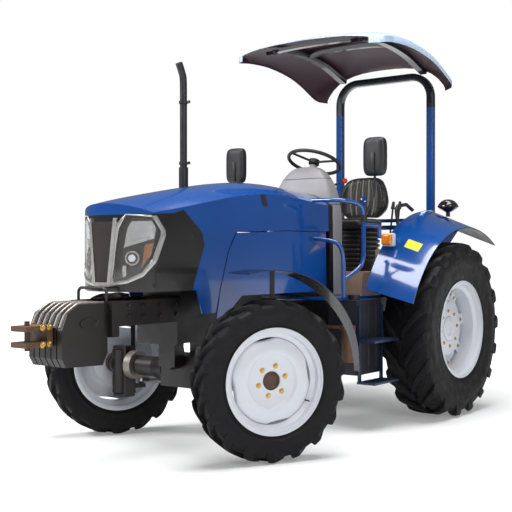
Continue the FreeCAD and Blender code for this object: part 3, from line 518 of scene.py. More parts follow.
# %% A tree that turns copies round an axle
round_tree, given = new_tree("parts_round_an_axle", ("Points", "Geometry"), ("Part", "Object"),
                             ("Count", "Int"), ("Phase", "Float"), ("Finish", "Material"))
line = add(round_tree, "GeometryNodeMeshLine", {"Count": given["Count"], "Offset": (0, 0, 0)})
index = add(round_tree, "GeometryNodeInputIndex").outputs[0]
share = add(round_tree, "ShaderNodeMath", {0: index, 1: given["Count"]}, operation="DIVIDE")
turn = add(round_tree, "ShaderNodeMath", {0: share.outputs[0], 1: 2 * math.pi, 2: given["Phase"]},
           operation="MULTIPLY_ADD")
spin = add(round_tree, "ShaderNodeCombineXYZ", {"X": turn.outputs[0]})
part = add(round_tree, "GeometryNodeObjectInfo", {"Object": given["Part"]})
spread = add(round_tree, "GeometryNodeInstanceOnPoints",
             {"Points": line.outputs[0], "Rotation": spin.outputs[0],
              "Instance": part.outputs["Geometry"]})
close_tree(round_tree, spread, given["Finish"])

# %% A tree that sets copies at points
point_tree, given = new_tree("parts_at_points", ("Points", "Geometry"), ("Part", "Object"),
                             ("Size", "Float"), ("Finish", "Material"))
facing = add(point_tree, "GeometryNodeInputNamedAttribute", {"Name": "facing"},
             data_type="FLOAT_VECTOR")
aim = add(point_tree, "FunctionNodeAlignRotationToVector", {"Vector": facing.outputs[0]}, axis="Z")
part = add(point_tree, "GeometryNodeObjectInfo", {"Object": given["Part"]})
spread = add(point_tree, "GeometryNodeInstanceOnPoints",
             {"Points": given["Points"], "Rotation": aim.outputs[0], "Scale": given["Size"],
              "Instance": part.outputs["Geometry"]})
close_tree(point_tree, spread, given["Finish"])


# %% Running a tree
def grown(tree, part_mesh, material, points=None, **settings):
    """What a tree makes of one part, as a plain mesh."""
    part_holder = bpy.data.objects.new("part", part_mesh)
    holder = shown("holder", points or bpy.data.meshes.new("points"))
    modifier = holder.modifiers.new("repeat", "NODES")
    modifier.node_group = tree
    settings.update(Part=part_holder, Finish=material)
    for socket in tree.interface.items_tree:
        if socket.in_out == "INPUT" and socket.name in settings:
            modifier[socket.identifier] = settings[socket.name]
    mesh = evaluated(holder)
    bpy.data.objects.remove(holder)
    bpy.data.objects.remove(part_holder)
    return mesh


print("trees:", [tree.name for tree in bpy.data.node_groups])

# %% [markdown]
# ## Bolts
# Farm bolts are M12 to M16, hexagon heads with a turned top on a plain washer. One bolt is made
# standing on the ground, 20 mm over its corners, and a size makes it larger or smaller where it
# is set. A bolt is listed as a place and the direction in which its head points.

# %% One bolt, and sets of it
WASHER = ((15, 0), (15, 2.2), (14, 2.6))  # radius and height of its rings, mm
HEAD = ((10, 2), (10, 8), (8.4, 9.4))


def stacked(rows, sides):
    """A solid form over rings of (radius, height) in millimetres, standing on Z = 0."""
    rings = [[(x / 1000, y / 1000, z / 1000) for x, y in circle(radius, sides)] for radius, z in rows]
    return lofted(rings)


def bolts(name, places, material=bare_steel, body="chassis", size=1.0):
    """Bolts at (place, direction) pairs."""
    points = bpy.data.meshes.new("points")
    points.from_pydata([tuple(place) for place, way in places], [], [])
    facing = points.attributes.new("facing", "FLOAT_VECTOR", "POINT")
    facing.data.foreach_set("vector", [c for place, way in places for c in Vector(way).normalized()])
    bolt = joined([stacked(WASHER, 24), stacked(HEAD, 6)])
    return piece(name, grown(point_tree, bolt, material, points, Size=size), material, body, crease=30)


def outward_pairs(x, spots):
    """Bolts at (back, height) spots on both sides, their heads away from the middle."""
    return [(at(side * x, back, z), (side, 0, 0)) for side in (1, -1) for back, z in spots]


print("a bolt is", 2 * HEAD[0][0], "mm over its corners")

# %% [markdown]
# ## Tyres
# A drive tyre is a smooth casing with two rings of rubber bars, each half a pitch from the
# other, that climb from the middle of the tread to the shoulder. The casing is one profile
# turned about the axle. A bar bends over the tread and down the side wall, which no array of
# boxes would do, so one bar is skinned over cross-sections along its bent line and the axle tree
# repeats it. The solid tyres are smooth, so these pieces stand for them.

# %% One bar of rubber
def lug_mesh(width, top, low, lean, thick):
    """A bar on one half of the tread. It starts as a rounded nose near the middle of the tread,
    leans forward, then turns down over the shoulder and dies out in the side wall."""
    line = [  # share of the half width, radius of its top, share of the lean, thickness, base
        (0.015, top - 0.006, 0.00, 0.55, low - 0.004), (0.05, top, 0.05, 0.95, low - 0.004),
        (0.30, top, 0.36, 0.92, low - 0.004), (0.56, top - 0.001, 0.66, 0.95, low - 0.005),
        (0.78, top - 0.005, 0.86, 1.05, low - 0.008), (0.93, top - 0.012, 0.97, 1.2, low - 0.018),
        (0.995, top - 0.03, 1.02, 1.3, low - 0.034), (1.005, low - 0.028, 1.06, 1.25, low - 0.058),
        (0.985, low - 0.062, 1.08, 1.1, low - 0.074)]
    rings = []
    for k, (share, high, leaning, wide, base) in enumerate(line):
        x, turn = share * width / 2, leaning * lean
        half = thick * wide / 2
        inward = 0.93 if share > 0.9 else 1.0
        shape = [(-half * 1.3, base), (-half * 1.02, high - 0.007), (-half * 0.86, high - 0.0015),
                 (-half * 0.5, high), (half * 0.5, high), (half * 0.86, high - 0.0015),
                 (half * 1.02, high - 0.007), (half * 1.3, base)]
        if k in (0, len(line) - 1):
            shape = [(place * 0.6, min(radius, base + 0.004)) for place, radius in shape]
        ring = []
        for place, radius in shape:
            angle = turn + place / top
            across = x if radius > base + 0.001 else x * inward
            ring.append((across, -radius * math.cos(angle), radius * math.sin(angle)))
        rings.append(ring)
    return lofted(rings)


# %% The tyre around its bars
bars_each_side, bar_share = 18, 0.28  # a bar's share of the pitch, along the tread
casing_steps, rim_steps = 108, 96


def tyre_piece(name, body, place, radius, width, rim, rim_width, lug, lean, stands_for):
    """A casing and its two rings of bars, moved to the wheel's place."""
    low = radius - lug
    half = width / 2
    deep = low - rim
    bead = rim_width / 2 - 0.009
    casing = [(0, low), (half * 0.5, low - 0.001), (half * 0.8, low - 0.006),
              (half * 0.94, low - 0.02), (half, low - 0.24 * deep - 0.02),
              (half, low - 0.36 * deep), (half * 0.985, low - 0.55 * deep),
              (half * 0.975, low - 0.57 * deep), (half * 0.955, low - 0.8 * deep),
              (bead + 0.004, rim + 0.014), (bead, rim + 0.008), (bead, rim - 0.02), (0, rim - 0.02)]
    loop = casing + [(-x, r) for x, r in casing[-2:0:-1]]
    pitch = 2 * math.pi / bars_each_side
    bar = lug_mesh(width, radius, low, lean, pitch * radius * bar_share)
    rings = [grown(round_tree, bar, rubber, Count=bars_each_side),
             grown(round_tree, moved(bar, MIRROR), rubber, Count=bars_each_side, Phase=-pitch / 2)]
    mesh = joined([turned(loop, casing_steps, closed=True)] + rings)
    return piece(name, mesh, rubber, body, crease=32, move=place, stands_for=(stands_for,))


# %% Four tyres in their places
steered = math.radians(-27.6)  # the front wheels stand turned to the right
hub_offset = 0.1165  # from the kingpin out to the middle of the wheel
front_width, front_rim, front_rim_width = 0.211, 0.33, 0.19
rear_width, rear_rim, rear_rim_width = 0.378, 0.381, 0.356
front_lug, front_lean = 0.028, math.radians(14)  # a bar's height, and how far it leans forward
rear_lug, rear_lean = 0.036, math.radians(18)
SIDES = (("left", 1), ("right", -1))
front_at = {way: Matrix.Translation((way * kingpin.x, front_y, front_radius))
            @ Matrix.Rotation(steered, 4, "Z")
            @ Matrix.Translation((way * hub_offset, 0, 0)) for side, way in SIDES}
rear_at = {way: Matrix.Translation((way * rear_half_track, rear_y, rear_radius)) for side, way in SIDES}
for side, way in SIDES:
    made = tyre_piece(f"front_drive_tyre_{side}", f"front_wheel_{side}", front_at[way], front_radius,
                      front_width, front_rim, front_rim_width, front_lug, front_lean,
                      f"front_tyre_{side}")
    print(made.name, len(made.data.polygons), "faces")
    made = tyre_piece(f"rear_drive_tyre_{side}", f"rear_wheel_{side}", rear_at[way], rear_radius,
                      rear_width, rear_rim, rear_rim_width, rear_lug, rear_lean,
                      f"rear_tyre_{side}")
    print(made.name, len(made.data.polygons), "faces")

# %% [markdown]
# ## Wheels
# A steel rim is rolled from one strip: a flange, a seat for the bead and a drop centre. The
# front disc is a shallow dish whose edge has four flats, and the flats leave dark slots against
# the rim. The rear disc is bolted to brackets on the rim, which lets the track be changed. Both
# rims are turned like the casing. A turned disc would have a round edge, so the discs are
# skinned over radial sections, and each section ends where the flats let it.

# %% A rolled rim
def barrel(rim, width):
    """The rolled rim, with rounded flanges, as a closed profile."""
    half, gauge = width / 2, 0.006
    outer = [(half - 0.058, rim - 0.056), (half - 0.04, rim - 0.028), (half - 0.009, rim - 0.022),
             (half - 0.008, rim - 0.003), (half - 0.003, rim), (half, rim - 0.004)]
    out = [(-x, r) for x, r in outer[::-1]] + outer
    back = [(x * (1 - gauge / half), r - gauge) for x, r in out[::-1]]
    back[0], back[-1] = (half, rim - 0.012), (-half, rim - 0.012)
    return turned(out + back, rim_steps, closed=True)


# %% A dished disc
disc_steps, flat_zone = 144, 0.72  # the flats change a disc outside this share of its radius


def disc(profile, gauge, flats, flat_depth, flat_half, start):
    """A dished disc: (along the axle, radius) from hub hole to edge, its edge cut by flats."""
    edge = profile[-1][1]
    rings = []
    for i in range(disc_steps + 1):
        turn = 2 * math.pi * i / disc_steps
        cut = 0.0
        for k in range(flats):
            off = (turn - start - 2 * math.pi * k / flats + math.pi) % (2 * math.pi) - math.pi
            if abs(off) < flat_half:
                cut = max(cut, flat_depth * (1 - (off / flat_half) ** 2))
        ring = []
        for x, r in profile:
            share = max(0.0, (r - edge * flat_zone) / (edge * (1 - flat_zone)))
            radius = r - cut * share ** 2
            ring.append((x, radius * math.cos(turn), radius * math.sin(turn)))
        back = [(x - gauge, y, z) for x, y, z in ring[::-1]]
        rings.append(ring + back)
    return lofted(rings, closed=True, caps=False)


# %% A ring of nuts
def ring_of_nuts(place, x, radius, start, count):
    """Nuts round a wheel at a radius, pointing out along its axle."""
    outward = place.to_3x3() @ Vector((1, 0, 0))
    angles = [start + 2 * math.pi / count * k for k in range(count)]
    return [(place @ Vector((x, radius * math.cos(a), radius * math.sin(a))), outward) for a in angles]


# %% Front wheels: disc, hub, six nuts and a valve
# (along the axle, radius)
FRONT_DISC = [(0.034, 0.058), (0.038, 0.062), (0.038, 0.15), (0.041, 0.158), (0.052, 0.168),
              (0.055, 0.178), (0.055, 0.2), (0.05, 0.235), (0.044, 0.256), (0.036, 0.264), (0.02, 0.268)]
FRONT_HUB = [(-0.05, 0.075), (0.012, 0.075), (0.012, 0.056), (0.03, 0.054), (0.034, 0.045),
             (0.026, 0.038), (0.02, 0.0)]
front_nuts = 6


def dress_front_wheel(side, place):
    """The pieces of a front wheel, which all ride on it."""
    body = f"front_wheel_{side}"
    wheel = joined([barrel(front_rim, front_rim_width),
                    disc(FRONT_DISC, gauge=0.006, flats=4, flat_depth=0.016, flat_half=0.3,
                         start=math.radians(10))])
    piece(f"front_wheel_rim_{side}", wheel, white_enamel, body, 30, place, (f"front_rim_{side}",))
    piece(f"front_hub_{side}", turned(FRONT_HUB, 48), rusty_iron, body, 30, place)
    nuts = ring_of_nuts(place, 0.038, 0.093, math.radians(15), front_nuts)
    bolts(f"front_wheel_nuts_{side}", nuts, gold_zinc, body, 1.15)
    valve = rod((0.03, 0.23, -0.13), (0.075, 0.24, -0.135), 0.004, 12)
    piece(f"front_valve_{side}", valve, hose_rubber, body, 30, place)


print("a front wheel has", front_nuts, "nuts")

# %% Rear wheels: disc, brackets, two rings of nuts and a hub
REAR_DISC = [(0.055, 0.1), (0.058, 0.104), (0.058, 0.2), (0.054, 0.21), (0.03, 0.225),
             (0.012, 0.235), (0.01, 0.25), (0.012, 0.282), (0.01, 0.29)]
REAR_HUB = [(-0.02, 0.12), (0.05, 0.12), (0.05, 0.099), (0.062, 0.095), (0.066, 0.06), (0.05, 0.05),
            (0.046, 0.0)]
bracket_count, bracket_phase = 8, 0.2
bracket = joined([block((0.012, 0.262, -0.045), (0.022, 0.33, 0.045)),
                  block((-0.05, 0.322, -0.045), (0.022, 0.334, 0.045))])


def dress_rear_wheel(side, place):
    """The pieces of a rear wheel, which all ride on it."""
    body = f"rear_wheel_{side}"
    wheel = joined([barrel(rear_rim, rear_rim_width),
                    disc(REAR_DISC, gauge=0.008, flats=bracket_count, flat_depth=0.02,
                         flat_half=0.25, start=bracket_phase)])
    piece(f"rear_wheel_rim_{side}", wheel, white_enamel, body, 30, place, (f"rear_rim_{side}",))
    brackets = grown(round_tree, bracket, white_enamel, Count=bracket_count, Phase=bracket_phase)
    piece(f"rim_brackets_{side}", brackets, white_enamel, body, 30, place)
    nuts = (ring_of_nuts(place, 0.022, 0.283, bracket_phase, bracket_count)
            + ring_of_nuts(place, 0.058, 0.14, 0.1, 8))
    bolts(f"rear_wheel_nuts_{side}", nuts, gold_zinc, body)
    piece(f"rear_hub_{side}", turned(REAR_HUB, 48), white_enamel, body, 30, place)


print("a rear wheel has", bracket_count, "brackets")

# %% Dress all four
half_turn = Matrix.Rotation(math.pi, 4, "Z")
for side, way in SIDES:
    facing_out = half_turn if way < 0 else Matrix.Identity(4)
    dress_front_wheel(side, front_at[way] @ facing_out)
    dress_rear_wheel(side, rear_at[way] @ facing_out)
print("wheels dressed")

# %% [markdown]
# ## The nose
# Each lamp wraps round a corner of the nose, so its outline is drawn on an upright plane that
# faces the front quarter and is cast along that plane's line of sight on to the solid hood. A
# patch fills an outline with small triangles that follow the hood, and a band frames one. Both
# keep the lamp on the hood's own curve, which a flat lamp would leave at its ends.

# %% Rays that meet a mesh
def surface(mesh):
    """A tree that answers where a ray meets a mesh."""
    form = form_from(mesh)
    found = BVHTree.FromBMesh(form)
    form.free()
    return found


# %% Outlines cast on to the hood
quarter = math.radians(37)
across = Vector((math.cos(quarter), math.sin(quarter), 0))
sight = Vector((-math.sin(quarter), math.cos(quarter), 0))
nose_tree = surface(joined([nodes[name].data for name in
                            ("hood_nose", "headlamps", "grille", "hood_shell")]))
ahead_view = {"way": Vector((0, 1, 0)), "line": Vector((1, 0, 0))}
side_view = {"way": Vector((-1, 0, 0)), "line": Vector((0, 1, 0))}


def on_nose(u, z, lift, way=sight, line=across):
    """The point of the hood behind (u, z) of a slanted plane, lifted towards the eye."""
    start = Vector((0, front_y, z)) + line * u - way * 1.2
    hit, normal, *rest = nose_tree.ray_cast(start, way)
    if hit is None:
        hit = Vector((0, front_y - 0.6, z)) + line * u
    return hit - way * lift


# %% A patch over an outline
patch_step = 0.014  # the side of a patch's triangles


def stepped(outline):
    """The outline with points set between its corners, about a step apart."""
    edge = [Vector(p) for p in outline]
    rim = []
    for a, b in zip(edge, edge[1:] + edge[:1]):
        parts = max(1, round((b - a).length / patch_step))
        rim += [a.lerp(b, k / parts) for k in range(parts)]
    return rim


def patch(outline, lift, thick, **view):
    """A closed sheet of small triangles over an outline, its face lifted off the hood."""
    rim = stepped(outline)
    low_u, low_z = [min(p[k] for p in outline) for k in (0, 1)]
    high_u, high_z = [max(p[k] for p in outline) for k in (0, 1)]
    grid = [Vector((low_u + patch_step * i, low_z + patch_step * j))
            for i in range(1, int((high_u - low_u) / patch_step) + 1)
            for j in range(1, int((high_z - low_z) / patch_step) + 1)]
    grid = [p for p in grid if min((p - q).length for q in rim) > patch_step * 0.6]
    links = [(k, (k + 1) % len(rim)) for k in range(len(rim))]
    flat, ties, faces, *rest = delaunay_2d_cdt(rim + grid, links, [], 1, 1e-6)
    count = len(flat)
    verts = [on_nose(p.x, p.y, height, **view) for height in (lift, lift - thick) for p in flat]
    sides = {}
    for face in faces:
        for a, b in zip(face, list(face[1:]) + [face[0]]):
            sides[frozenset((a, b))] = None if frozenset((a, b)) in sides else (a, b)
    walls = [(a, b, b + count, a + count) for a, b in filter(None, sides.values())]
    rear = [tuple(i + count for i in face[::-1]) for face in faces]
    return mesh_of(verts, list(faces) + rear + walls)


# %% A band round an outline
band_steps = 5


def band(pairs, lift, thick):
    """A raised frame between an inner and an outer outline given as pairs of (u, z)."""
    rings = []
    for (inner, outer), (next_inner, next_outer) in zip(pairs, pairs[1:] + pairs[:1]):
        for k in range(band_steps):
            a = Vector(inner).lerp(Vector(next_inner), k / band_steps)
            b = Vector(outer).lerp(Vector(next_outer), k / band_steps)
            middle = a.lerp(b, 0.5)
            rings.append([on_nose(*a, lift - thick), on_nose(*a, lift - 0.003), on_nose(*middle, lift),
                          on_nose(*b, lift - 0.003), on_nose(*b, lift - thick)])
    return lofted(rings + rings[:1], caps=False)


print("the hood is cast on to from", round(math.degrees(quarter)), "degrees off its front")

# %% [markdown]
# ## Headlamps
# A headlamp is a bronze bowl behind a clear cover, with a silver frame round both. The bowl is a
# patch set back into the hood and a band that joins it to the cover's edge. A black surround
# fills the hood between the lamp and the grille.

# %% Bowl, surround, frame and cover
# (along the slanted plane, height) of the lamp's edge, and of the outer edge of its frame
LAMP = [((-0.312, 1.508), (-0.312, 1.516)), ((-0.353, 1.428), (-0.384, 1.44)),
        ((-0.371, 1.323), (-0.399, 1.323)), ((-0.384, 1.200), (-0.413, 1.200)),
        ((-0.394, 1.141), (-0.424, 1.110)), ((-0.384, 1.108), (-0.420, 1.081)),
        ((-0.303, 1.125), (-0.300, 1.103)), ((-0.215, 1.168), (-0.206, 1.143)),
        ((-0.152, 1.250), (-0.128, 1.230)), ((-0.111, 1.385), (-0.082, 1.386)),
        ((-0.108, 1.415), (-0.083, 1.418)), ((-0.152, 1.497), (-0.130, 1.506))]
SURROUND = [(-0.130, 1.506), (-0.083, 1.418), (-0.082, 1.386), (-0.128, 1.230), (-0.206, 1.143),
            (-0.300, 1.103), (-0.420, 1.081), (-0.410, 1.066), (-0.100, 1.080), (0.040, 1.110),
            (0.040, 1.512), (-0.120, 1.520)]
bowl_depth = 0.055
glass_edge = [inner for inner, outer in LAMP]
bowl_wall = band([((u, z), (u * 0.995, z)) for u, z in glass_edge], 0, bowl_depth)
bowl = joined([patch(glass_edge, -bowl_depth, 0.004), bowl_wall])
piece("lamp_bowls", both(bowl), bronze_plastic, "hood", stands_for=("headlamps",))
piece("lamp_surrounds", both(patch(SURROUND, 0.0015, 0.004)), nose_plastic, "hood")
piece("lamp_frames", both(band(LAMP, 0.007, 0.012)), silver_trim, "hood", crease=50)
piece("lamp_covers", both(patch(glass_edge, 0.001, 0.003)), clear_lens, "hood")
print("headlamps", bowl_depth, "m deep")

# %% [markdown]
# ## What lies in the bowl
# The upper beam has a broad fluted reflector. Below it a silver bar divides the lamp, a small
# amber turn lamp lies along the inner edge, and the lower beam is a round lamp in three rings.

# %% Reflectors and the turn lamp
reflector_thick = 0.02
UPPER_LENS = [(-0.326, 1.314), (-0.306, 1.429), (-0.278, 1.472), (-0.160, 1.475), (-0.137, 1.429),
              (-0.148, 1.368), (-0.188, 1.356)]
DIVIDER = [(-0.326, 1.314), (-0.188, 1.356), (-0.178, 1.372), (-0.318, 1.338)]
LOW_LENS = [(-0.334, 1.207), (-0.311, 1.207), (-0.311, 1.141), (-0.334, 1.141)]
TURN_LENS = [(-0.199, 1.332), (-0.148, 1.344), (-0.165, 1.266), (-0.222, 1.192)]
piece("upper_reflectors", both(patch(UPPER_LENS, -0.03, reflector_thick)), frosted_lens, "hood")
splitters = joined([patch(DIVIDER, -0.012, reflector_thick), patch(LOW_LENS, -0.02, reflector_thick)])
piece("lens_splitters", both(splitters), silver_trim, "hood")
piece("nose_turn_lamps", both(patch(TURN_LENS, -0.02, reflector_thick)), dull_amber, "hood")

# %% The round lamp: a rim, a bowl and a lens
lamp_u, lamp_z = -0.275, 1.252
for name, radius, lift, thick, material in (("round_lamp_rims", 0.043, -0.012, 0.04, silver_trim),
                                            ("round_lamp_bowls", 0.034, -0.009, 0.01, bronze_plastic),
                                            ("round_lamp_lenses", 0.022, -0.004, 0.01, chrome)):
    outline = [(lamp_u + u, lamp_z + z) for u, z in circle(radius, 28)]
    piece(name, both(patch(outline, lift, thick)), material, "hood")
print("lamps filled")

# %% [markdown]
# ## The grille
# Air for the radiator passes a dark trapezium of twenty thin bars between two silver strips.
# Straight bars set in a row would stand off the round front at their ends, so the bars are
# patches too, seen from straight ahead, and each follows the hood.

# %% Screen, bars and strips
grille_top_half, grille_top = 0.098, 1.470
grille_low_half, grille_low = 0.05, 1.108
bar_count, bar_half, bar_inset = 20, 0.003, 0.006
screen = [(-grille_top_half, grille_top), (grille_top_half, grille_top),
          (grille_low_half, grille_low), (-grille_low_half, grille_low)]
piece("grille_screen", patch(screen, 0.002, 0.012, **ahead_view), grille_plastic, "hood")
bars = []
for k in range(bar_count):
    share = (k + 0.5) / bar_count
    z = grille_low + (grille_top - grille_low) * share
    half = grille_low_half + (grille_top_half - grille_low_half) * share - bar_inset
    bars.append(patch([(-half, z - bar_half), (half, z - bar_half), (half, z + bar_half),
                       (-half, z + bar_half)], 0.007, 0.008, **ahead_view))
piece("grille_bars", joined(bars), grille_plastic, "hood")
strip = [(grille_top_half - 0.004, 1.492), (grille_top_half + 0.018, 1.492),
         (grille_low_half + 0.022, 1.085), (grille_low_half - 0.002, 1.085)]
foot = [(-0.06, 1.081), (0.06, 1.081), (0.06, 1.106), (-0.06, 1.106)]
piece("grille_strips", joined([both(patch(strip, 0.009, 0.014, **ahead_view)),
                               patch(foot, 0.008, 0.012, **ahead_view)]), silver_trim, "hood")
print("grille of", bar_count, "bars")

# %% [markdown]
# ## Hood catches
# A rubber strap on each side holds the hood down. The hood's side curves in both directions, so
# the strap is a small slanted patch as well, cast from the side.

# %% The catches
CATCH = [(0.405, 1.680), (0.455, 1.680), (0.485, 1.605), (0.435, 1.605)]
piece("hood_catches", both(patch(CATCH, 0.004, 0.006, **side_view)), black_plastic, "hood")
print("nose pieces made")

# %% [markdown]
# ## The canopy
# The canopy is a domed sheet with a dropped skirt, skinned over five sections that a smooth
# curve joins, and its front edge bows forward. Its pale top and its plum underside are two thin
# skins with a hair of air between them, so that each keeps its own finish: the plum is painted
# shade under the canopy.

# %% A smooth curve through rows of numbers
def eased(rows, steps):
    """Rows of numbers with smooth rows set between them, through every given row."""
    out = []
    for k in range(len(rows) - 1):
        before, a, b, after = rows[max(k - 1, 0)], rows[k], rows[k + 1], rows[min(k + 2, len(rows) - 1)]
        for i in range(steps):
            t = i / steps
            out.append([0.5 * (2 * q + (r - p) * t + (2 * p - 5 * q + 4 * r - s) * t * t
                               + (3 * q - p - 3 * r + s) * t ** 3)
                        for p, q, r, s in zip(before, a, b, after)])
    return out + [list(rows[-1])]


# %% Two skins
canopy_half, canopy_skirt, canopy_corner = 0.69, 0.052, 0.095
front_bow, bow_reach = 0.085, 0.45
# behind the front axle, height of the edge, height of the crown
CANOPY = eased([(1.380, 2.885, 2.915), (1.600, 2.915, 2.985), (1.900, 2.915, 3.020),
                (2.250, 2.855, 2.985), (2.625, 2.700, 2.895)], 8)
canopy_front, canopy_rear = CANOPY[0][0], CANOPY[-1][0]
# share of the half width, share of the dome's height
DOME = [(0, 1), (0.2, 0.99), (0.36, 0.955), (0.52, 0.88), (0.66, 0.76), (0.78, 0.59), (0.88, 0.36),
        (0.94, 0.16), (0.975, 0.03), (1.0, -0.12)]


def canopy_skin(inset, thick):
    """A skin of the canopy, its outer face an inset inside the canopy's own."""
    rings = []
    for back, edge, crown in CANOPY:
        near = min(back - canopy_front, canopy_rear - back)
        cut = 0
        if near < canopy_corner:
            cut = canopy_corner - math.sqrt(max(canopy_corner ** 2 - (canopy_corner - near) ** 2, 0))
        ring = []
        for deep, order in ((inset, 1), (inset + thick, -1)):
            half = canopy_half - cut - deep
            side = [(half * x, edge - deep + (crown - edge) * z) for x, z in DOME]
            side.append((half, edge - canopy_skirt))
            full = [(-x, z) for x, z in side[:0:-1]] + side
            bulge = front_bow * max(0, 1 - (back - canopy_front) / bow_reach)
            ring += [at(x, back - bulge * (1 - (x / canopy_half) ** 2), z) for x, z in full[::order]]
        rings.append(ring)
    return lofted(rings)


piece("canopy_top_skin", canopy_skin(0, 0.003), canopy_top, crease=60, stands_for=("canopy",))
# The underside skin's plum is painted shade under the canopy.
piece("canopy_lining", canopy_skin(0.004, 0.004), canopy_lining, crease=60)
print("canopy from", canopy_front, "to", canopy_rear, "m behind the front axle")

# %% [markdown]
# ## Ribs under the canopy
# Two broad pressed ribs run from the front edge back to the hoop, and two narrower ones cross
# them. Each follows the height of the underside skin, which one function gives for any place, so
# that a rib touches that skin along its whole length.

# %% Long and cross ribs
rib_x, rib_front, rib_rear = 0.40, 1.47, 2.6
long_rib = ((-0.036, 0), (-0.036 * 0.8, -0.03), (0.036 * 0.8, -0.03), (0.036, 0))
cross_rib = ((-0.034, 0), (-0.026, -0.024), (0.026, -0.024), (0.034, 0))


def under(back, x, drop):
    """Height of a place a drop below the canopy's underside skin."""
    row = min(CANOPY, key=lambda r: abs(r[0] - back))
    share = abs(x) / canopy_half
    return row[1] + (row[2] - row[1]) * (1 - share ** 2.6) - 0.012 - drop


ribs = []
for way in (1, -1):
    rings = []
    for k in range(25):
        back = rib_front + (rib_rear - rib_front) * k / 24
        top = under(back, way * rib_x, 0.012)
        rings.append([at(way * rib_x + a, back, top + b) for a, b in long_rib])
    ribs.append(lofted(rings))
for back in (1.54, 2.02):
    rings = []
    for k in range(17):
        x = -rib_x + 2 * rib_x * k / 16
        rings.append([at(x, back + a, under(back, x, 0.014) + b) for a, b in cross_rib])
    ribs.append(lofted(rings))
piece("canopy_ribs", joined(ribs), navy_black_and_canopy_shadow, crease=40)
print(len(ribs), "ribs")

# %% [markdown]
# ## The roll-over hoop
# The hoop is 60 mm square tube with round corners: two blue posts and a bow that is bent
# over them in two wide arcs, blue tube too, whose navy black is painted shadow of the canopy. A
# bevelled curve is always round, so a square section is swept along each line by hand and
# turned with it.

# %% Posts and bow
hoop_back, hoop_half, hoop_top, hoop_foot = 2.63, 0.453, 2.795, 0.830
tube_half, tube_round, bend = 0.030, 0.009, 0.185
straight_top = hoop_top - bend
# Painted shadow: the posts' blue ends here and the bow's navy black begins, where the canopy's shadow falls.
canopy_shadow_low = straight_top - 0.09  # where the bow's ends sit on the posts


def square_section():
    """Corners of a square tube with small round corners: (across, along the tractor)."""
    flat = tube_half - tube_round
    corners = []
    for quarter_turn in range(4):
        middle = (flat if quarter_turn in (0, 3) else -flat, flat if quarter_turn < 2 else -flat)
        for part in range(4):
            turn = math.pi / 2 * (quarter_turn + part / 3)
            corners.append((middle[0] + tube_round * math.cos(turn),
                            middle[1] + tube_round * math.sin(turn)))
    return corners


def hoop_part(path):
    """The square tube swept along a path of (across, height, turn of its face)."""
    return lofted([[at(x + a * math.cos(turn), hoop_back + b, z + a * math.sin(turn))
                    for a, b in square_section()] for x, z, turn in path])


half_bow = [(hoop_half, canopy_shadow_low, 0)]
for turn in [math.pi / 2 * k / 12 for k in range(13)]:
    half_bow.append((hoop_half - bend + bend * math.cos(turn), straight_top + bend * math.sin(turn), turn))
bow = half_bow + [(-x, z, math.pi - turn) for x, z, turn in half_bow[::-1]]
leg = hoop_part([(hoop_half, hoop_foot, 0), (hoop_half, canopy_shadow_low, 0)])
piece("hoop_posts", both(leg), blue_enamel, stands_for=("rops_posts",))
# The bow's navy black is painted shadow of the canopy on blue tube.
piece("hoop_bow", hoop_part(bow), navy_black_and_canopy_shadow, stands_for=("canopy_frame",))
print("hoop", round(hoop_top + tube_half, 3), "m high")

# %% [markdown]
# ## Feet and latches of the hoop
# Each post stands on a long foot, and a bar and two plates tie the posts at seat height. A grey
# latch with four yellow bolts sits on each post. They are plain boxes with broken edges: sheet
# and castings of this size have no other form that the eye would miss.

# %% Feet, latches and their bolts
long_foot = block(at(hoop_half - 0.06, 2.10, 0.80), at(hoop_half + 0.06, 2.66, 0.832), 0.006)
tie_plate = block(at(hoop_half - 0.055, 2.585, 1.46), at(hoop_half + 0.055, 2.675, 1.47), 0.002)
tie_bar = block(at(-hoop_half, 2.61, 1.48), at(hoop_half, 2.65, 1.52), 0.006)
piece("hoop_feet", joined([both(long_foot), both(tie_plate), tie_bar]), blue_enamel)
latch = block(at(hoop_half - 0.045, 2.57, 1.52), at(hoop_half + 0.045, 2.6, 1.64), 0.006)
piece("hoop_latches", both(latch), grey_plastic)
bolts("hoop_bolts", [(at(side * (hoop_half + dx), 2.598, z), (0, -1, 0)) for side in (1, -1)
                     for dx in (-0.022, 0.022) for z in (1.545, 1.615)], gold_zinc)
print("canopy and hoop made")

# %% [markdown]
# ## Stuffing a cover
# A seat's cover is vinyl pulled over foam, which pushes it out from inside. Cloth under pressure
# does the same: the form is remeshed evenly, simulated for twenty frames without gravity, and no
# point may move more than 8 mm, so the cushion keeps its size.

# %% Cloth under pressure
pad_voxel, pad_pressure, pad_frames, pad_cap = 0.006, 4, 20, 0.008


def cushioned(mesh):
    """A form swollen like a stuffed cover, no point moved past the cap."""
    scene = bpy.context.scene
    holder = shown("pad", mesh)
    remesh = holder.modifiers.new("remesh", "REMESH")
    remesh.mode, remesh.voxel_size = "VOXEL", pad_voxel
    slack = evaluated(holder)
    holder.modifiers.clear()
    holder.data = slack
    cloth = holder.modifiers.new("cloth", "CLOTH")
    cloth.settings.use_pressure = True
    cloth.settings.uniform_pressure_force = pad_pressure
    cloth.settings.effector_weights.gravity = 0
    for moment in range(1, pad_frames + 1):
        scene.frame_set(moment)
    full = evaluated(holder)
    for before, after in zip(slack.vertices, full.vertices):
        shift = after.co - before.co
        after.co = before.co + shift * min(1, pad_cap / max(shift.length, 1e-9))
    scene.frame_set(1)
    holder.modifiers.clear()
    holder.data = full
    holder.modifiers.new("smooth", "SUBSURF").levels = 1
    stuffed = evaluated(holder)
    bpy.data.objects.remove(holder)
    return stuffed


print("covers are simulated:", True)

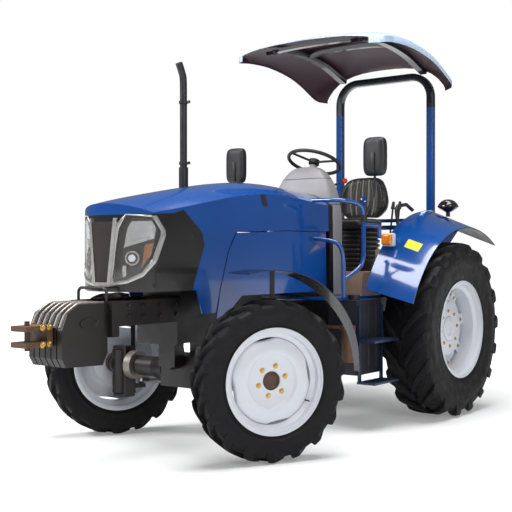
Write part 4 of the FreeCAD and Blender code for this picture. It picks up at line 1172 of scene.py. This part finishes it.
# %% [markdown]
# ## Seat back
# The seat is vinyl over foam. Its back is skinned over level sections: five soft rolls between
# two bolsters that come forward at the sides, and a plain rear. Cream welts are sewn between the
# rolls. Each welt is a thin tube whose points are found on the stuffed cover itself.

# %% Seat back
seat_front = 2.255
# height, half width, how far the bolsters come forward, how far the section leans back
SEAT_BACK = [(1.570, 0.150, 0.010, 0.000), (1.600, 0.188, 0.022, 0.006), (1.660, 0.232, 0.040, 0.012),
             (1.740, 0.236, 0.040, 0.018), (1.820, 0.215, 0.032, 0.026), (1.880, 0.185, 0.020, 0.034),
             (1.915, 0.140, 0.006, 0.044), (1.928, 0.080, -0.010, 0.055)]
roll_height, roll_waves, seat_depth = 0.007, 3.6, 0.062
roll_zone, bolster_zone, edge_zone = 0.72, 0.62, 0.93  # shares of the half width


def seat_ring(z, half, swell, lean):
    """A level section of the seat back: its front from side to side, then its rear."""
    ring = []
    for k in range(61):
        share = -1 + 2 * k / 60
        wave = abs(math.cos(share * math.pi * roll_waves))
        roll = roll_height * wave if abs(share) < roll_zone else 0.0
        rise = max(0, (abs(share) - bolster_zone) / (1 - bolster_zone)) ** 0.8
        bolster = swell * rise * (1 - max(0, abs(share) - edge_zone) * 9)
        ring.append(at(half * share, seat_front + lean - roll - bolster, z))
    for k in range(17):
        turn = math.pi * (k + 1) / 18
        ring.append(at(half * math.cos(turn), seat_front + lean + seat_depth * math.sin(turn) ** 0.5, z))
    return ring


back_mesh = cushioned(lofted([seat_ring(*row) for row in eased(SEAT_BACK, 6)]))
piece("seat_back_cover", back_mesh, vinyl, crease=70, stands_for=("seat_back",))
print("seat back", round(2 * max(row[1] for row in SEAT_BACK), 3), "m wide")

# %% Welts between its rolls
welt_pitch, welt_radius, welt_sunk = 0.057, 0.0062, 0.002
welt_low, welt_step, welt_points = 1.60, 0.02, 16
gathered, spread_over = 0.8, 0.1  # the welts draw together to this share at the bottom
back_surface = surface(back_mesh)
welts = []
for k in range(-2, 3):
    line = []
    for step in range(welt_points):
        z = welt_low + welt_step * step
        opened = min(1, (z - SEAT_BACK[0][0]) / spread_over)
        x = welt_pitch * k * (gathered + (1 - gathered) * opened)
        hit, *rest = back_surface.ray_cast(at(x, seat_front - 0.3, z), Vector((0, 1, 0)))
        line.append(hit + Vector((0, welt_sunk, 0)))
    welts.append(tube(line, welt_radius, smooth=3))
piece("seat_channels", joined(welts), cream_vinyl, crease=60)
print("seat back with", len(welts), "welts")

# %% [markdown]
# ## Seat cushion
# The cushion is a rounded rectangle that swells and closes over its height, stuffed in the same
# way. Its piping runs round the cover where the top meets the sides. Stuffing moves the cover by
# a few millimetres, so rays from outside find where the piping has to lie.

# %% A rounded rectangle
def rounded(half_width, half_height, power, count):
    """Points of a rounded rectangle: the smaller the power, the tighter its corners."""
    points = []
    for turn in turns(count):
        c, s = math.cos(turn), math.sin(turn)
        points.append((half_width * math.copysign(abs(c) ** power, c),
                       half_height * math.copysign(abs(s) ** power, s)))
    return points


# %% Cushion and piping
cushion_back, cushion_half, cushion_reach, piping_z = 2.055, 0.241, 0.205, 1.540
# height, and how much wider or narrower the cushion is there
CUSHION = ((1.490, -0.026), (1.498, -0.008), (1.522, -0.004), (1.543, -0.012), (1.552, -0.03),
           (1.556, -0.066))
cushion_rings = [[at(x, cushion_back + y, z) for x, y in
                  rounded(cushion_half + grow, cushion_reach + grow, 0.35, 64)] for z, grow in CUSHION]
cushion_mesh = cushioned(lofted(cushion_rings))
piece("seat_cushion_cover", cushion_mesh, vinyl, crease=60, stands_for=("seat_cushion",))
cushion_surface = surface(cushion_mesh)
middle = at(0, cushion_back, piping_z)
piping = []
for point in cushion_rings[3]:
    outward = (Vector((point.x, point.y, piping_z)) - middle).normalized()
    hit, *rest = cushion_surface.ray_cast(middle + outward * 0.5, -outward)
    piping.append(hit)
piece("seat_piping", tube(piping, 0.005, cyclic=True, smooth=3), cream_vinyl)
print("cushion", round(2 * cushion_half, 3), "m wide")

# %% [markdown]
# ## Console
# The console is one smooth moulding, so it is a skin over rounded sections that shrink towards
# the wheel, with a smooth curve through them for the shoulder. Two dark seams run round it where
# its mouldings part, along rings of that same skin. A boot covers the steering column.

# %% Shell, boot and seams
console_front, console_back = 1.297, 1.539
# height, half width, how far its front and its rear have moved back
CONSOLE = [(0.966, 0.286, 0.0, 0.0), (1.450, 0.288, 0.0, 0.0), (1.600, 0.284, 0.0, -0.004),
           (1.720, 0.262, 0.008, -0.012), (1.800, 0.232, 0.026, -0.024), (1.865, 0.194, 0.050, -0.040),
           (1.915, 0.148, 0.074, -0.058), (1.942, 0.098, 0.096, -0.078), (1.950, 0.050, 0.112, -0.095)]
seam_rows = (12, 24)
console_rings = []
for z, half, front_move, rear_move in eased(CONSOLE, 5):
    low, high = console_front + front_move, console_back + rear_move
    console_rings.append([at(x, (low + high) / 2 + y, z) for x, y in
                          rounded(half, (high - low) / 2, 0.5, 56)])
column = Vector(joints["steering_wheel_turn"]["pos_m"])
column_way = Vector(joints["steering_wheel_turn"]["axis"])
boot = rod(column - column_way * 0.15, column - column_way * 0.03, 0.04, tip=0.028)
shell = joined([lofted(console_rings), boot])
piece("console_shell", shell, grey_plastic, crease=60, stands_for=("console",))
seams = [tube(console_rings[k], 0.0022, cyclic=True, smooth=2) for k in seam_rows]
piece("console_seams", joined(seams), black_plastic)
print("console", round(console_back - console_front, 3), "m deep")

# %% Instrument dial
dial_back, dial_z, dial_thick = 1.50, 1.86, 0.02
dial_half, dial_tall, dial_slant = 0.1, 0.05, 0.012
dial_rings = [[at(dial_half * math.cos(turn), dial_back + dial_thick * k + dial_slant * math.sin(turn),
                  dial_z + dial_tall * math.sin(turn)) for turn in turns(24)] for k in range(2)]
piece("instrument_dial", lofted(dial_rings), black_plastic)
print("dial", 2 * dial_half, "m wide")

# %% [markdown]
# ## Levers and the seat's bellows
# Red knobs sit beside the wheel, each turned on its own axis, and black levers stand at the
# driver's left. Beige boxes cover the rods. The seat stands on bellows. A fold of bellows this
# small looks like a box with a wide round edge, so nine of them lie round a plain core.

# %% Knobs, levers and boxes
# (along the knob, radius)
KNOB = [(0, 0.0), (0, 0.012), (0.02, 0.018), (0.06, 0.020), (0.078, 0.013), (0.082, 0)]
knob_x, knob_back, knob_z = 0.25, 1.58, 1.838
knob_aim = Matrix.Rotation(math.radians(-58), 4, "Z")
knobs = [moved(turned(KNOB, 20), Matrix.Translation(at(x, knob_back, knob_z)) @ knob_aim)
         for x in (knob_x, -knob_x)]
piece("lever_knobs", joined(knobs), red_plastic)
levers = [tube([at(x, 2.10, 1.30), at(x + 0.01, 2.13, 1.50), at(x + 0.005, 2.17, 1.66)], 0.008)
          for x in (0.34, 0.40)]
levers += [rod(at(x, 2.165, 1.64), at(x, 2.18, 1.70), 0.017, tip=0.011) for x in (0.345, 0.405)]
piece("side_levers", joined(levers), black_plastic)
lever_box = block(at(0.30, 1.95, 0.96), at(0.44, 2.30, 1.31), 0.01)
piece("lever_boxes", both(lever_box), beige_panel)
print(len(knobs), "knobs and", len(levers) // 2, "levers")

# %% Bellows
fold_count, fold_low, fold_pitch, fold_height, fold_edge = 9, 1.135, 0.038, 0.03, 0.012
fold_half, fold_front, fold_rear, core_inset = 0.165, 1.93, 2.28, 0.015
bellows = [block(at(core_inset - fold_half, fold_front + core_inset, 1.132),
                 at(fold_half - core_inset, fold_rear - core_inset, 1.483), 0.006)]
for k in range(fold_count):
    z = fold_low + fold_pitch * k
    bellows.append(block(at(-fold_half, fold_front, z), at(fold_half, fold_rear, z + fold_height),
                         fold_edge))
piece("seat_bellows", joined(bellows), black_plastic, crease=60, stands_for=("seat_suspension",))
print("driver's place made")

# %% [markdown]
# ## Side rails
# A rail on each side is bent from 32 mm tube: a hoop that rises from the step and runs forward
# to the hood's rear, a lower rail inside it, and a branch that ends on the fender. Bends follow
# no formula that is shorter than the places themselves, so each is a tube along a few places,
# and the curve rounds the corners. An eye and a tab are welded on to the hoop's upright.

# %% The rails
rail_radius, rail_x, rail_back = 0.016, 0.60, 1.275
HOOP_RAIL = [(0.335, 1.00, 1.662), (0.50, 1.00, 1.660), (0.59, 1.03, 1.655), (0.60, 1.12, 1.648),
             (0.60, 1.24, 1.625), (0.60, 1.275, 1.56), (0.60, 1.275, 1.40), (0.60, 1.275, 1.22),
             (0.585, 1.23, 1.16), (0.54, 1.10, 1.09)]
LOW_RAIL = [(0.335, 1.02, 1.385), (0.45, 1.03, 1.375), (0.53, 1.05, 1.35), (0.54, 1.09, 1.27),
            (0.54, 1.095, 1.10), (0.54, 1.095, 0.96)]
BRANCH = [(0.60, 1.275, 1.487), (0.60, 1.40, 1.487), (0.60, 1.49, 1.485), (0.60, 1.505, 1.45),
          (0.60, 1.508, 1.39)]
EYE = [(-0.005, 0.017), (-0.005, 0.033), (0.005, 0.033), (0.005, 0.017)]
rails = [tube([at(*place) for place in line], rail_radius, sides=5)
         for line in (HOOP_RAIL, LOW_RAIL, BRANCH)]
eye = moved(turned(EYE, 32, closed=True), Matrix.Translation(at(rail_x, rail_back, 1.665)))
tab = block(at(0.595, 1.262, 1.55), at(0.605, 1.288, 1.64), 0.002)
piece("side_rails", both(joined(rails + [eye, tab])), blue_enamel, stands_for=("handrails",))
print("rails from", len(rails), "tubes a side")

# %% [markdown]
# ## Mirrors
# A mirror is a rounded black shell with a silvered pane in its rear, a boss in front, and a thin
# arm that a clamp holds on the rail. The shell narrows towards its front in five sections, and
# the pane is a skin a millimetre thick that stands just clear of it.

# %% Shells, panes and arms
mirror_x, mirror_back, mirror_low, mirror_high = 0.65, 1.350, 1.847, 2.133
shell_half, shell_tall, pane_half, pane_tall = 0.093, 0.143, 0.086, 0.136
# behind the mirror's middle, share of its width, share of its height
SHELL = ((-0.034, 0.55, 0.7), (-0.03, 0.8, 0.88), (-0.02, 0.94, 0.965), (-0.005, 1, 1), (0.018, 1, 1))
ARM = [(0.60, 1.275, 1.53), (0.615, 1.285, 1.58), (0.64, 1.32, 1.66), (0.65, 1.345, 1.72),
       (0.65, 1.35, 1.78), (0.65, 1.35, 1.90)]


def upright(x, back, low, high, radius, steps=20):
    """An upright round bar."""
    return rod(at(x, back, low), at(x, back, high), radius, steps)


def mirror_ring(behind, width, height):
    """An upright rounded rectangle around the mirror's middle."""
    middle_z = (mirror_low + mirror_high) / 2
    return [at(mirror_x + x, mirror_back + behind, middle_z + z)
            for x, z in rounded(width, height, 0.42, 48)]


shell = lofted([mirror_ring(behind, shell_half * w, shell_tall * h) for behind, w, h in SHELL])
boss = block(at(0.63, 1.305, 1.86), at(0.67, 1.33, 2.02), 0.008)
pane = lofted([mirror_ring(behind, pane_half, pane_tall) for behind in (0.0185, 0.0195)])
arm = tube([at(*place) for place in ARM], 0.009)
clamp = upright(rail_x, rail_back, 1.505, 1.56, 0.024)
piece("mirror_shells", both(joined([shell, boss])), black_plastic, stands_for=("mirrors",))
piece("mirror_panes", both(pane), mirror_glass)
piece("mirror_arms", both(joined([arm, clamp])), hose_rubber)
print("mirrors", round(mirror_high - mirror_low, 3), "m high")

# %% [markdown]
# ## Turn lamps and work lamps
# On each rear fender stand a white case with an amber lens at its front, and a work lamp. Case
# and lens are boxes with wide round edges that overlap, as two mouldings clipped together do. The
# work lamp is a dark dome on a short foot, turned about its axis and stood upright.

# %% Cases, lenses and domes
case = block(at(0.562, 1.600, 1.330), at(0.655, 1.664, 1.432), 0.014, 3)
lens = block(at(0.570, 1.575, 1.338), at(0.657, 1.612, 1.425), 0.016, 3)
case_foot = block(at(0.565, 1.660, 1.343), at(0.590, 1.692, 1.378), 0.003)
piece("turn_lamp_cases", both(joined([case, case_foot])), white_enamel, stands_for=("lamps",))
piece("turn_lamp_lenses", both(lens), amber)
lamp_x, lamp_back, lamp_height = 0.60, 2.66, 1.625
# (up the dome, radius)
DOME_LAMP = [(0.0, 0.0), (0.0, 0.030), (0.012, 0.050), (0.030, 0.078), (0.040, 0.086), (0.048, 0.086),
             (0.066, 0.079), (0.090, 0.058), (0.104, 0.030), (0.108, 0.0)]
LAMP_RING = [(0.041, 0.080), (0.041, 0.0885), (0.047, 0.0885), (0.047, 0.080)]
lamp_place = (Matrix.Translation(at(lamp_x, lamp_back, lamp_height))
              @ Matrix.Rotation(math.radians(-90), 4, "Y"))
stalk = upright(lamp_x, lamp_back, 1.585, 1.63, 0.018)
piece("work_lamps", both(joined([moved(turned(DOME_LAMP, 48), lamp_place), stalk])), plum_plastic)
piece("work_lamp_rings", both(moved(turned(LAMP_RING, 48), lamp_place)), black_plastic)
print("fender lamps made")

# %% [markdown]
# ## Plate, cross rail and painted shade under the fenders
# A blank yellow plate lies on the left fender, its corners found on the fender itself. A rail
# joins the posts. Under each fender a dark sheet is painted shade over its bright paint: it
# is a copy of the fender's own faces that look at the axle, moved a hair towards it.

# %% Plate and rail
fender_surface = surface(nodes["rear_fender_left"].data)
PLATE = ((0.70, 1.70), (0.82, 1.70), (0.82, 1.78), (0.70, 1.78))  # across, back
plate_lift = 0.0015
plate_corners = []
for x, back in PLATE:
    hit, normal, *rest = fender_surface.ray_cast(at(x, back, 2.2), Vector((0, 0, -1)))
    plate_corners.append(hit + normal * plate_lift)
piece("fender_plate", mesh_of(plate_corners, [(0, 1, 2, 3)], normals=False), yellow_plate)
cross_half, cross_back, cross_z = 0.55, 2.60, 1.56
cross_rail = rod(at(-cross_half, cross_back, cross_z), at(cross_half, cross_back, cross_z), rail_radius)
piece("cross_rail", cross_rail, blue_enamel)
print("plate and cross rail made")

# %% Painted shade under the fenders
shade_sheet_gap, faces_wheel = 0.0015, 0.25
rear_axle = Vector(joints["rear_left_spin"]["pos_m"])


def towards_axle(place):
    """The direction from a place straight to the rear axle's line."""
    way = rear_axle - place
    way.x = 0
    return way.normalized()


def underside_shade_sheet(solid):
    """The faces of a fender that look at the wheel, set a hair inside it: a sheet of painted shade."""
    form = form_from(solid.data)
    outward = [face for face in form.faces
               if face.normal.dot(towards_axle(face.calc_center_median())) < faces_wheel]
    bmesh.ops.delete(form, geom=outward, context="FACES")
    for vert in form.verts:
        vert.co += towards_axle(vert.co) * shade_sheet_gap
    return mesh_from(form)


# Painted shade: a dark sheet under each fender, over the faces that look at the wheel.
for side in ("left", "right"):
    piece(f"fender_liner_{side}", underside_shade_sheet(nodes[f"rear_fender_{side}"]), black_plastic)
print("fenders lined")

# %% [markdown]
# ## The exhaust stack
# The stack is one bent tube that rises beside the hood and slants forward at its tip, which
# keeps rain out of it on the move. Round it sit a wider muffler and three clamps, each with the
# lug of its bolt. Bars and small boxes are enough for these.

# %% Stack, muffler and clamps
stack_x, stack_back = -0.40, 0.42
STACK = [(-0.17, 0, 1.15), (-0.36, 0, 1.15), (stack_x, 0, 1.19), (stack_x, 0, 1.5), (stack_x, 0, 2.3),
         (stack_x, 0, 2.53), (stack_x, -0.01, 2.575), (stack_x, -0.05, 2.648)]
clamp_low, clamp_height = (2.36, 1.92, 1.62), 0.02
stack = tube([at(x, stack_back + behind, z) for x, behind, z in STACK], 0.026, sides=6)
muffler = upright(stack_x, stack_back, 1.70, 1.90, 0.034)
clamps = [upright(stack_x, stack_back, z, z + clamp_height, 0.033) for z in clamp_low]
lugs = [block(at(stack_x + 0.028, stack_back - 0.008, z),
              at(stack_x + 0.06, stack_back + 0.008, z + clamp_height), 0.002) for z in clamp_low]
piece("exhaust_pipe", joined([stack, muffler] + clamps + lugs), exhaust_steel, stands_for=("exhaust_stack",))
print("stack made, with", len(clamps), "clamps")

# %% [markdown]
# ## Front weights
# The front weights are six slabs of iron side by side. A rounded rim along the top of each makes
# them read as six, where the solid is one block; its bright grey is painted highlight on the
# slab's rounded edge. Each rim is a tube whose points are dropped on to the solid, so that it
# follows the slab's shoulder.

# %% Rims, pockets and bolts of the weights
weight_surface = surface(nodes["front_weights"].data)
weight_count, weight_half, weight_rim = 6, 0.14, 0.009
rim_start, rim_step, rim_lowest = -0.875, 0.03, 0.8  # back, along the weights, and height
rims = []
for k in range(weight_count):
    x = -weight_half + 2 * weight_half * (k + 0.5) / weight_count
    line = []
    for step in range(12):
        back = rim_start - rim_step * step
        hit, *rest = weight_surface.ray_cast(at(x, back, 1.3), Vector((0, 0, -1)))
        if hit is not None and hit.z > rim_lowest:
            line.append(hit + Vector((0, 0, 0.002)))
    if len(line) > 2:
        rims.append(tube(line, weight_rim, smooth=3))
# Painted highlight: the rims' bright grey stands for light on the slabs' rounded top edges.
piece("weight_rims", joined(rims), bright_metal_and_painted_highlight)
POCKET = [(0.0, 0.036), (0.004, 0.046), (0.008, 0.046), (0.008, 0.034), (0.0, 0.030)]
pocket_place = (Matrix.Translation(at(weight_half - 0.002, -1.0, 0.88))
                @ Matrix.Diagonal((1, 1.7, 0.7, 1)))
piece("weight_pockets", both(moved(turned(POCKET, 36, closed=True), pocket_place)), cast_iron)
hitch_spots = [(back, z) for back in (-1.235, -1.285) for z in (0.775, 0.87)]
bolts("hitch_bolts", outward_pairs(0.066, hitch_spots), gold_zinc, size=1.3)
print(len(rims), "weights rimmed")

# %% [markdown]
# ## Front axle
# A bright sleeve ends each side of the front axle, with a ring of eight bolts on its face, and
# two rows of bolts hold the front support. Bolts are what tells the eye how large a casting is.

# %% Sleeves and bolts
axle_z, sleeve_end, bolt_ring = 0.505, 0.50, 0.08
sleeve = rod(at(0.44, 0, axle_z), at(sleeve_end, 0, axle_z), 0.098, steps=40)
piece("axle_sleeves", both(sleeve), bright_metal_and_painted_highlight)
bolts("axle_bolts", outward_pairs(sleeve_end, [(y, axle_z + z) for y, z in circle(bolt_ring, 8)]),
      size=0.9)
support_spots = [(back, z) for back in (-0.72, -0.60, -0.45, -0.30) for z in (0.90, 0.965)]
# Painted shade: these bolts are black enamel because they sit in the shade under the hood.
bolts("support_bolts", outward_pairs(0.176, support_spots), black_enamel, size=1.2)
print("axle dressed")

# %% [markdown]
# ## Tanks, filter and steps
# The side tanks have a filler neck with a cap, three moulded ribs and a blank plate. The fuel
# filter hangs from an arm ahead of the left tank, and the steps have round bars as treads. All
# are bars and boxes, set at the solids' own faces.

# %% Tank fittings and plates
filler_x, filler_back = 0.56, 1.20
cap = upright(filler_x, filler_back, 0.938, 0.975, 0.045, steps=32)
neck = upright(filler_x, filler_back, 0.93, 0.95, 0.032)
tank_ribs = [block(at(0.636, back, 0.44), at(0.644, back + 0.03, 0.90), 0.004)
             for back in (1.16, 1.27, 1.38)]
piece("tank_fittings", both(joined([cap, neck] + tank_ribs)), black_plastic)
label = block(at(0.641, 1.125, 0.70), at(0.643, 1.185, 0.79), 0.0005)
piece("tank_plates", both(label), yellow_plate)
print("tanks fitted, with", len(tank_ribs), "ribs each")

# %% Filter and treads
filter_x, filter_back = 0.60, 1.06
canister = upright(filter_x, filter_back, 0.50, 0.72, 0.048, steps=32)
head = upright(filter_x, filter_back, 0.72, 0.76, 0.055, steps=32)
filter_arm = block(at(0.40, 1.04, 0.735), at(0.58, 1.08, 0.755), 0.003)
piece("fuel_filters", joined([canister, head, filter_arm]), rusty_iron)
tread_front, tread_pitch, step_heights = 1.14, 0.056, (0.656, 0.356)
treads = []
for z in step_heights:
    for k in range(6):
        back = tread_front + tread_pitch * k
        treads.append(rod(at(0.66, back, z), at(0.775, back, z), 0.004, steps=8))
piece("step_treads", both(joined(treads)), step_blue_painted_shade)
print(len(treads), "treads a side")

# %% [markdown]
# ## The studio
# A pale paper floor and a white surround. The white that the camera, glass and gloss see comes
# from Light Path and adds no light to the tractor. A soft world fills the shadows a little, a
# large soft key stands at the front right and high, and a band of light above puts the sky on
# the hood.

# %% The floor
floor_reach = 60
fade_start, fade_end, glow_near, glow_far = 2.6, 7.0, 0.22, 1.0
floor_mesh = bpy.data.meshes.new("floor")
floor_corners = ((-1, -1), (1, -1), (1, 1), (-1, 1))
floor_mesh.from_pydata([(x * floor_reach, y * floor_reach, 0) for x, y in floor_corners],
                       [], [(0, 1, 2, 3)])
floor = shown("floor", floor_mesh)
paper = bpy.data.materials.new("studio_floor")
paper.use_nodes = True
floor_mesh.materials.append(paper)
tree = paper.node_tree
tree.nodes.clear()
rays = add(tree, "ShaderNodeLightPath").outputs
seen = add(tree, "ShaderNodeMath", {0: rays["Is Camera Ray"], 1: rays["Is Glossy Ray"]},
           operation="MAXIMUM")
seen = add(tree, "ShaderNodeMath", {0: seen.outputs[0], 1: rays["Is Transmission Ray"]},
           operation="MAXIMUM")
place = add(tree, "ShaderNodeTexCoord").outputs["Object"]
far = add(tree, "ShaderNodeVectorMath", {0: place}, operation="LENGTH")
fade = add(tree, "ShaderNodeMapRange",
           {"Value": far.outputs["Value"], "From Min": fade_start, "From Max": fade_end,
            "To Min": glow_near, "To Max": glow_far}, interpolation_type="SMOOTHSTEP")
glow = add(tree, "ShaderNodeMath", {0: fade.outputs["Result"], 1: seen.outputs[0]},
           operation="MULTIPLY")
card = add(tree, "ShaderNodeBsdfDiffuse", {"Color": colour("dcdcdc")})
light = add(tree, "ShaderNodeEmission", {"Color": (1, 1, 1, 1), "Strength": glow.outputs[0]})
lit_card = add(tree, "ShaderNodeAddShader", {0: card.outputs[0], 1: light.outputs[0]})
add(tree, "ShaderNodeOutputMaterial", {"Surface": lit_card.outputs[0]})
print("floor", 2 * floor_reach, "m wide")

# %% The world
world = bpy.data.worlds.new("studio")
bpy.context.scene.world = world
world.use_nodes = True
tree = world.node_tree
tree.nodes.clear()
rays = add(tree, "ShaderNodeLightPath").outputs
seen = add(tree, "ShaderNodeMath", {0: rays["Is Camera Ray"], 1: rays["Is Transmission Ray"]},
           operation="MAXIMUM")
soft = add(tree, "ShaderNodeBackground", {"Color": colour("eef2f7"), "Strength": 0.2})
white = add(tree, "ShaderNodeBackground", {"Color": (1, 1, 1, 1), "Strength": 1.0})
choose = add(tree, "ShaderNodeMixShader", {0: seen.outputs[0], 1: soft.outputs[0], 2: white.outputs[0]})
add(tree, "ShaderNodeOutputWorld", {"Surface": choose.outputs[0]})
print("world:", world.name)

# %% The lamps
aimed_at = Vector((0, 0.2, 1.0))
# name, place, width in metres, power in watts
LAMPS = (("key", (-4.5, -7.0, 6.5), 3.0, 720), ("fill", (7.5, -4.0, 4.5), 4.0, 230),
         ("top", (0.5, 0.0, 8.0), 6.0, 980))
for name, place, size, power in LAMPS:
    lamp = bpy.data.lights.new(name, "AREA")
    lamp.size, lamp.energy = size, power
    holder = shown(name, lamp)
    holder.location = place
    holder.rotation_euler = (aimed_at - Vector(place)).to_track_quat("-Z", "Y").to_euler()
bpy.context.scene.view_settings.view_transform = "Standard"
print("lamps:", len(LAMPS))
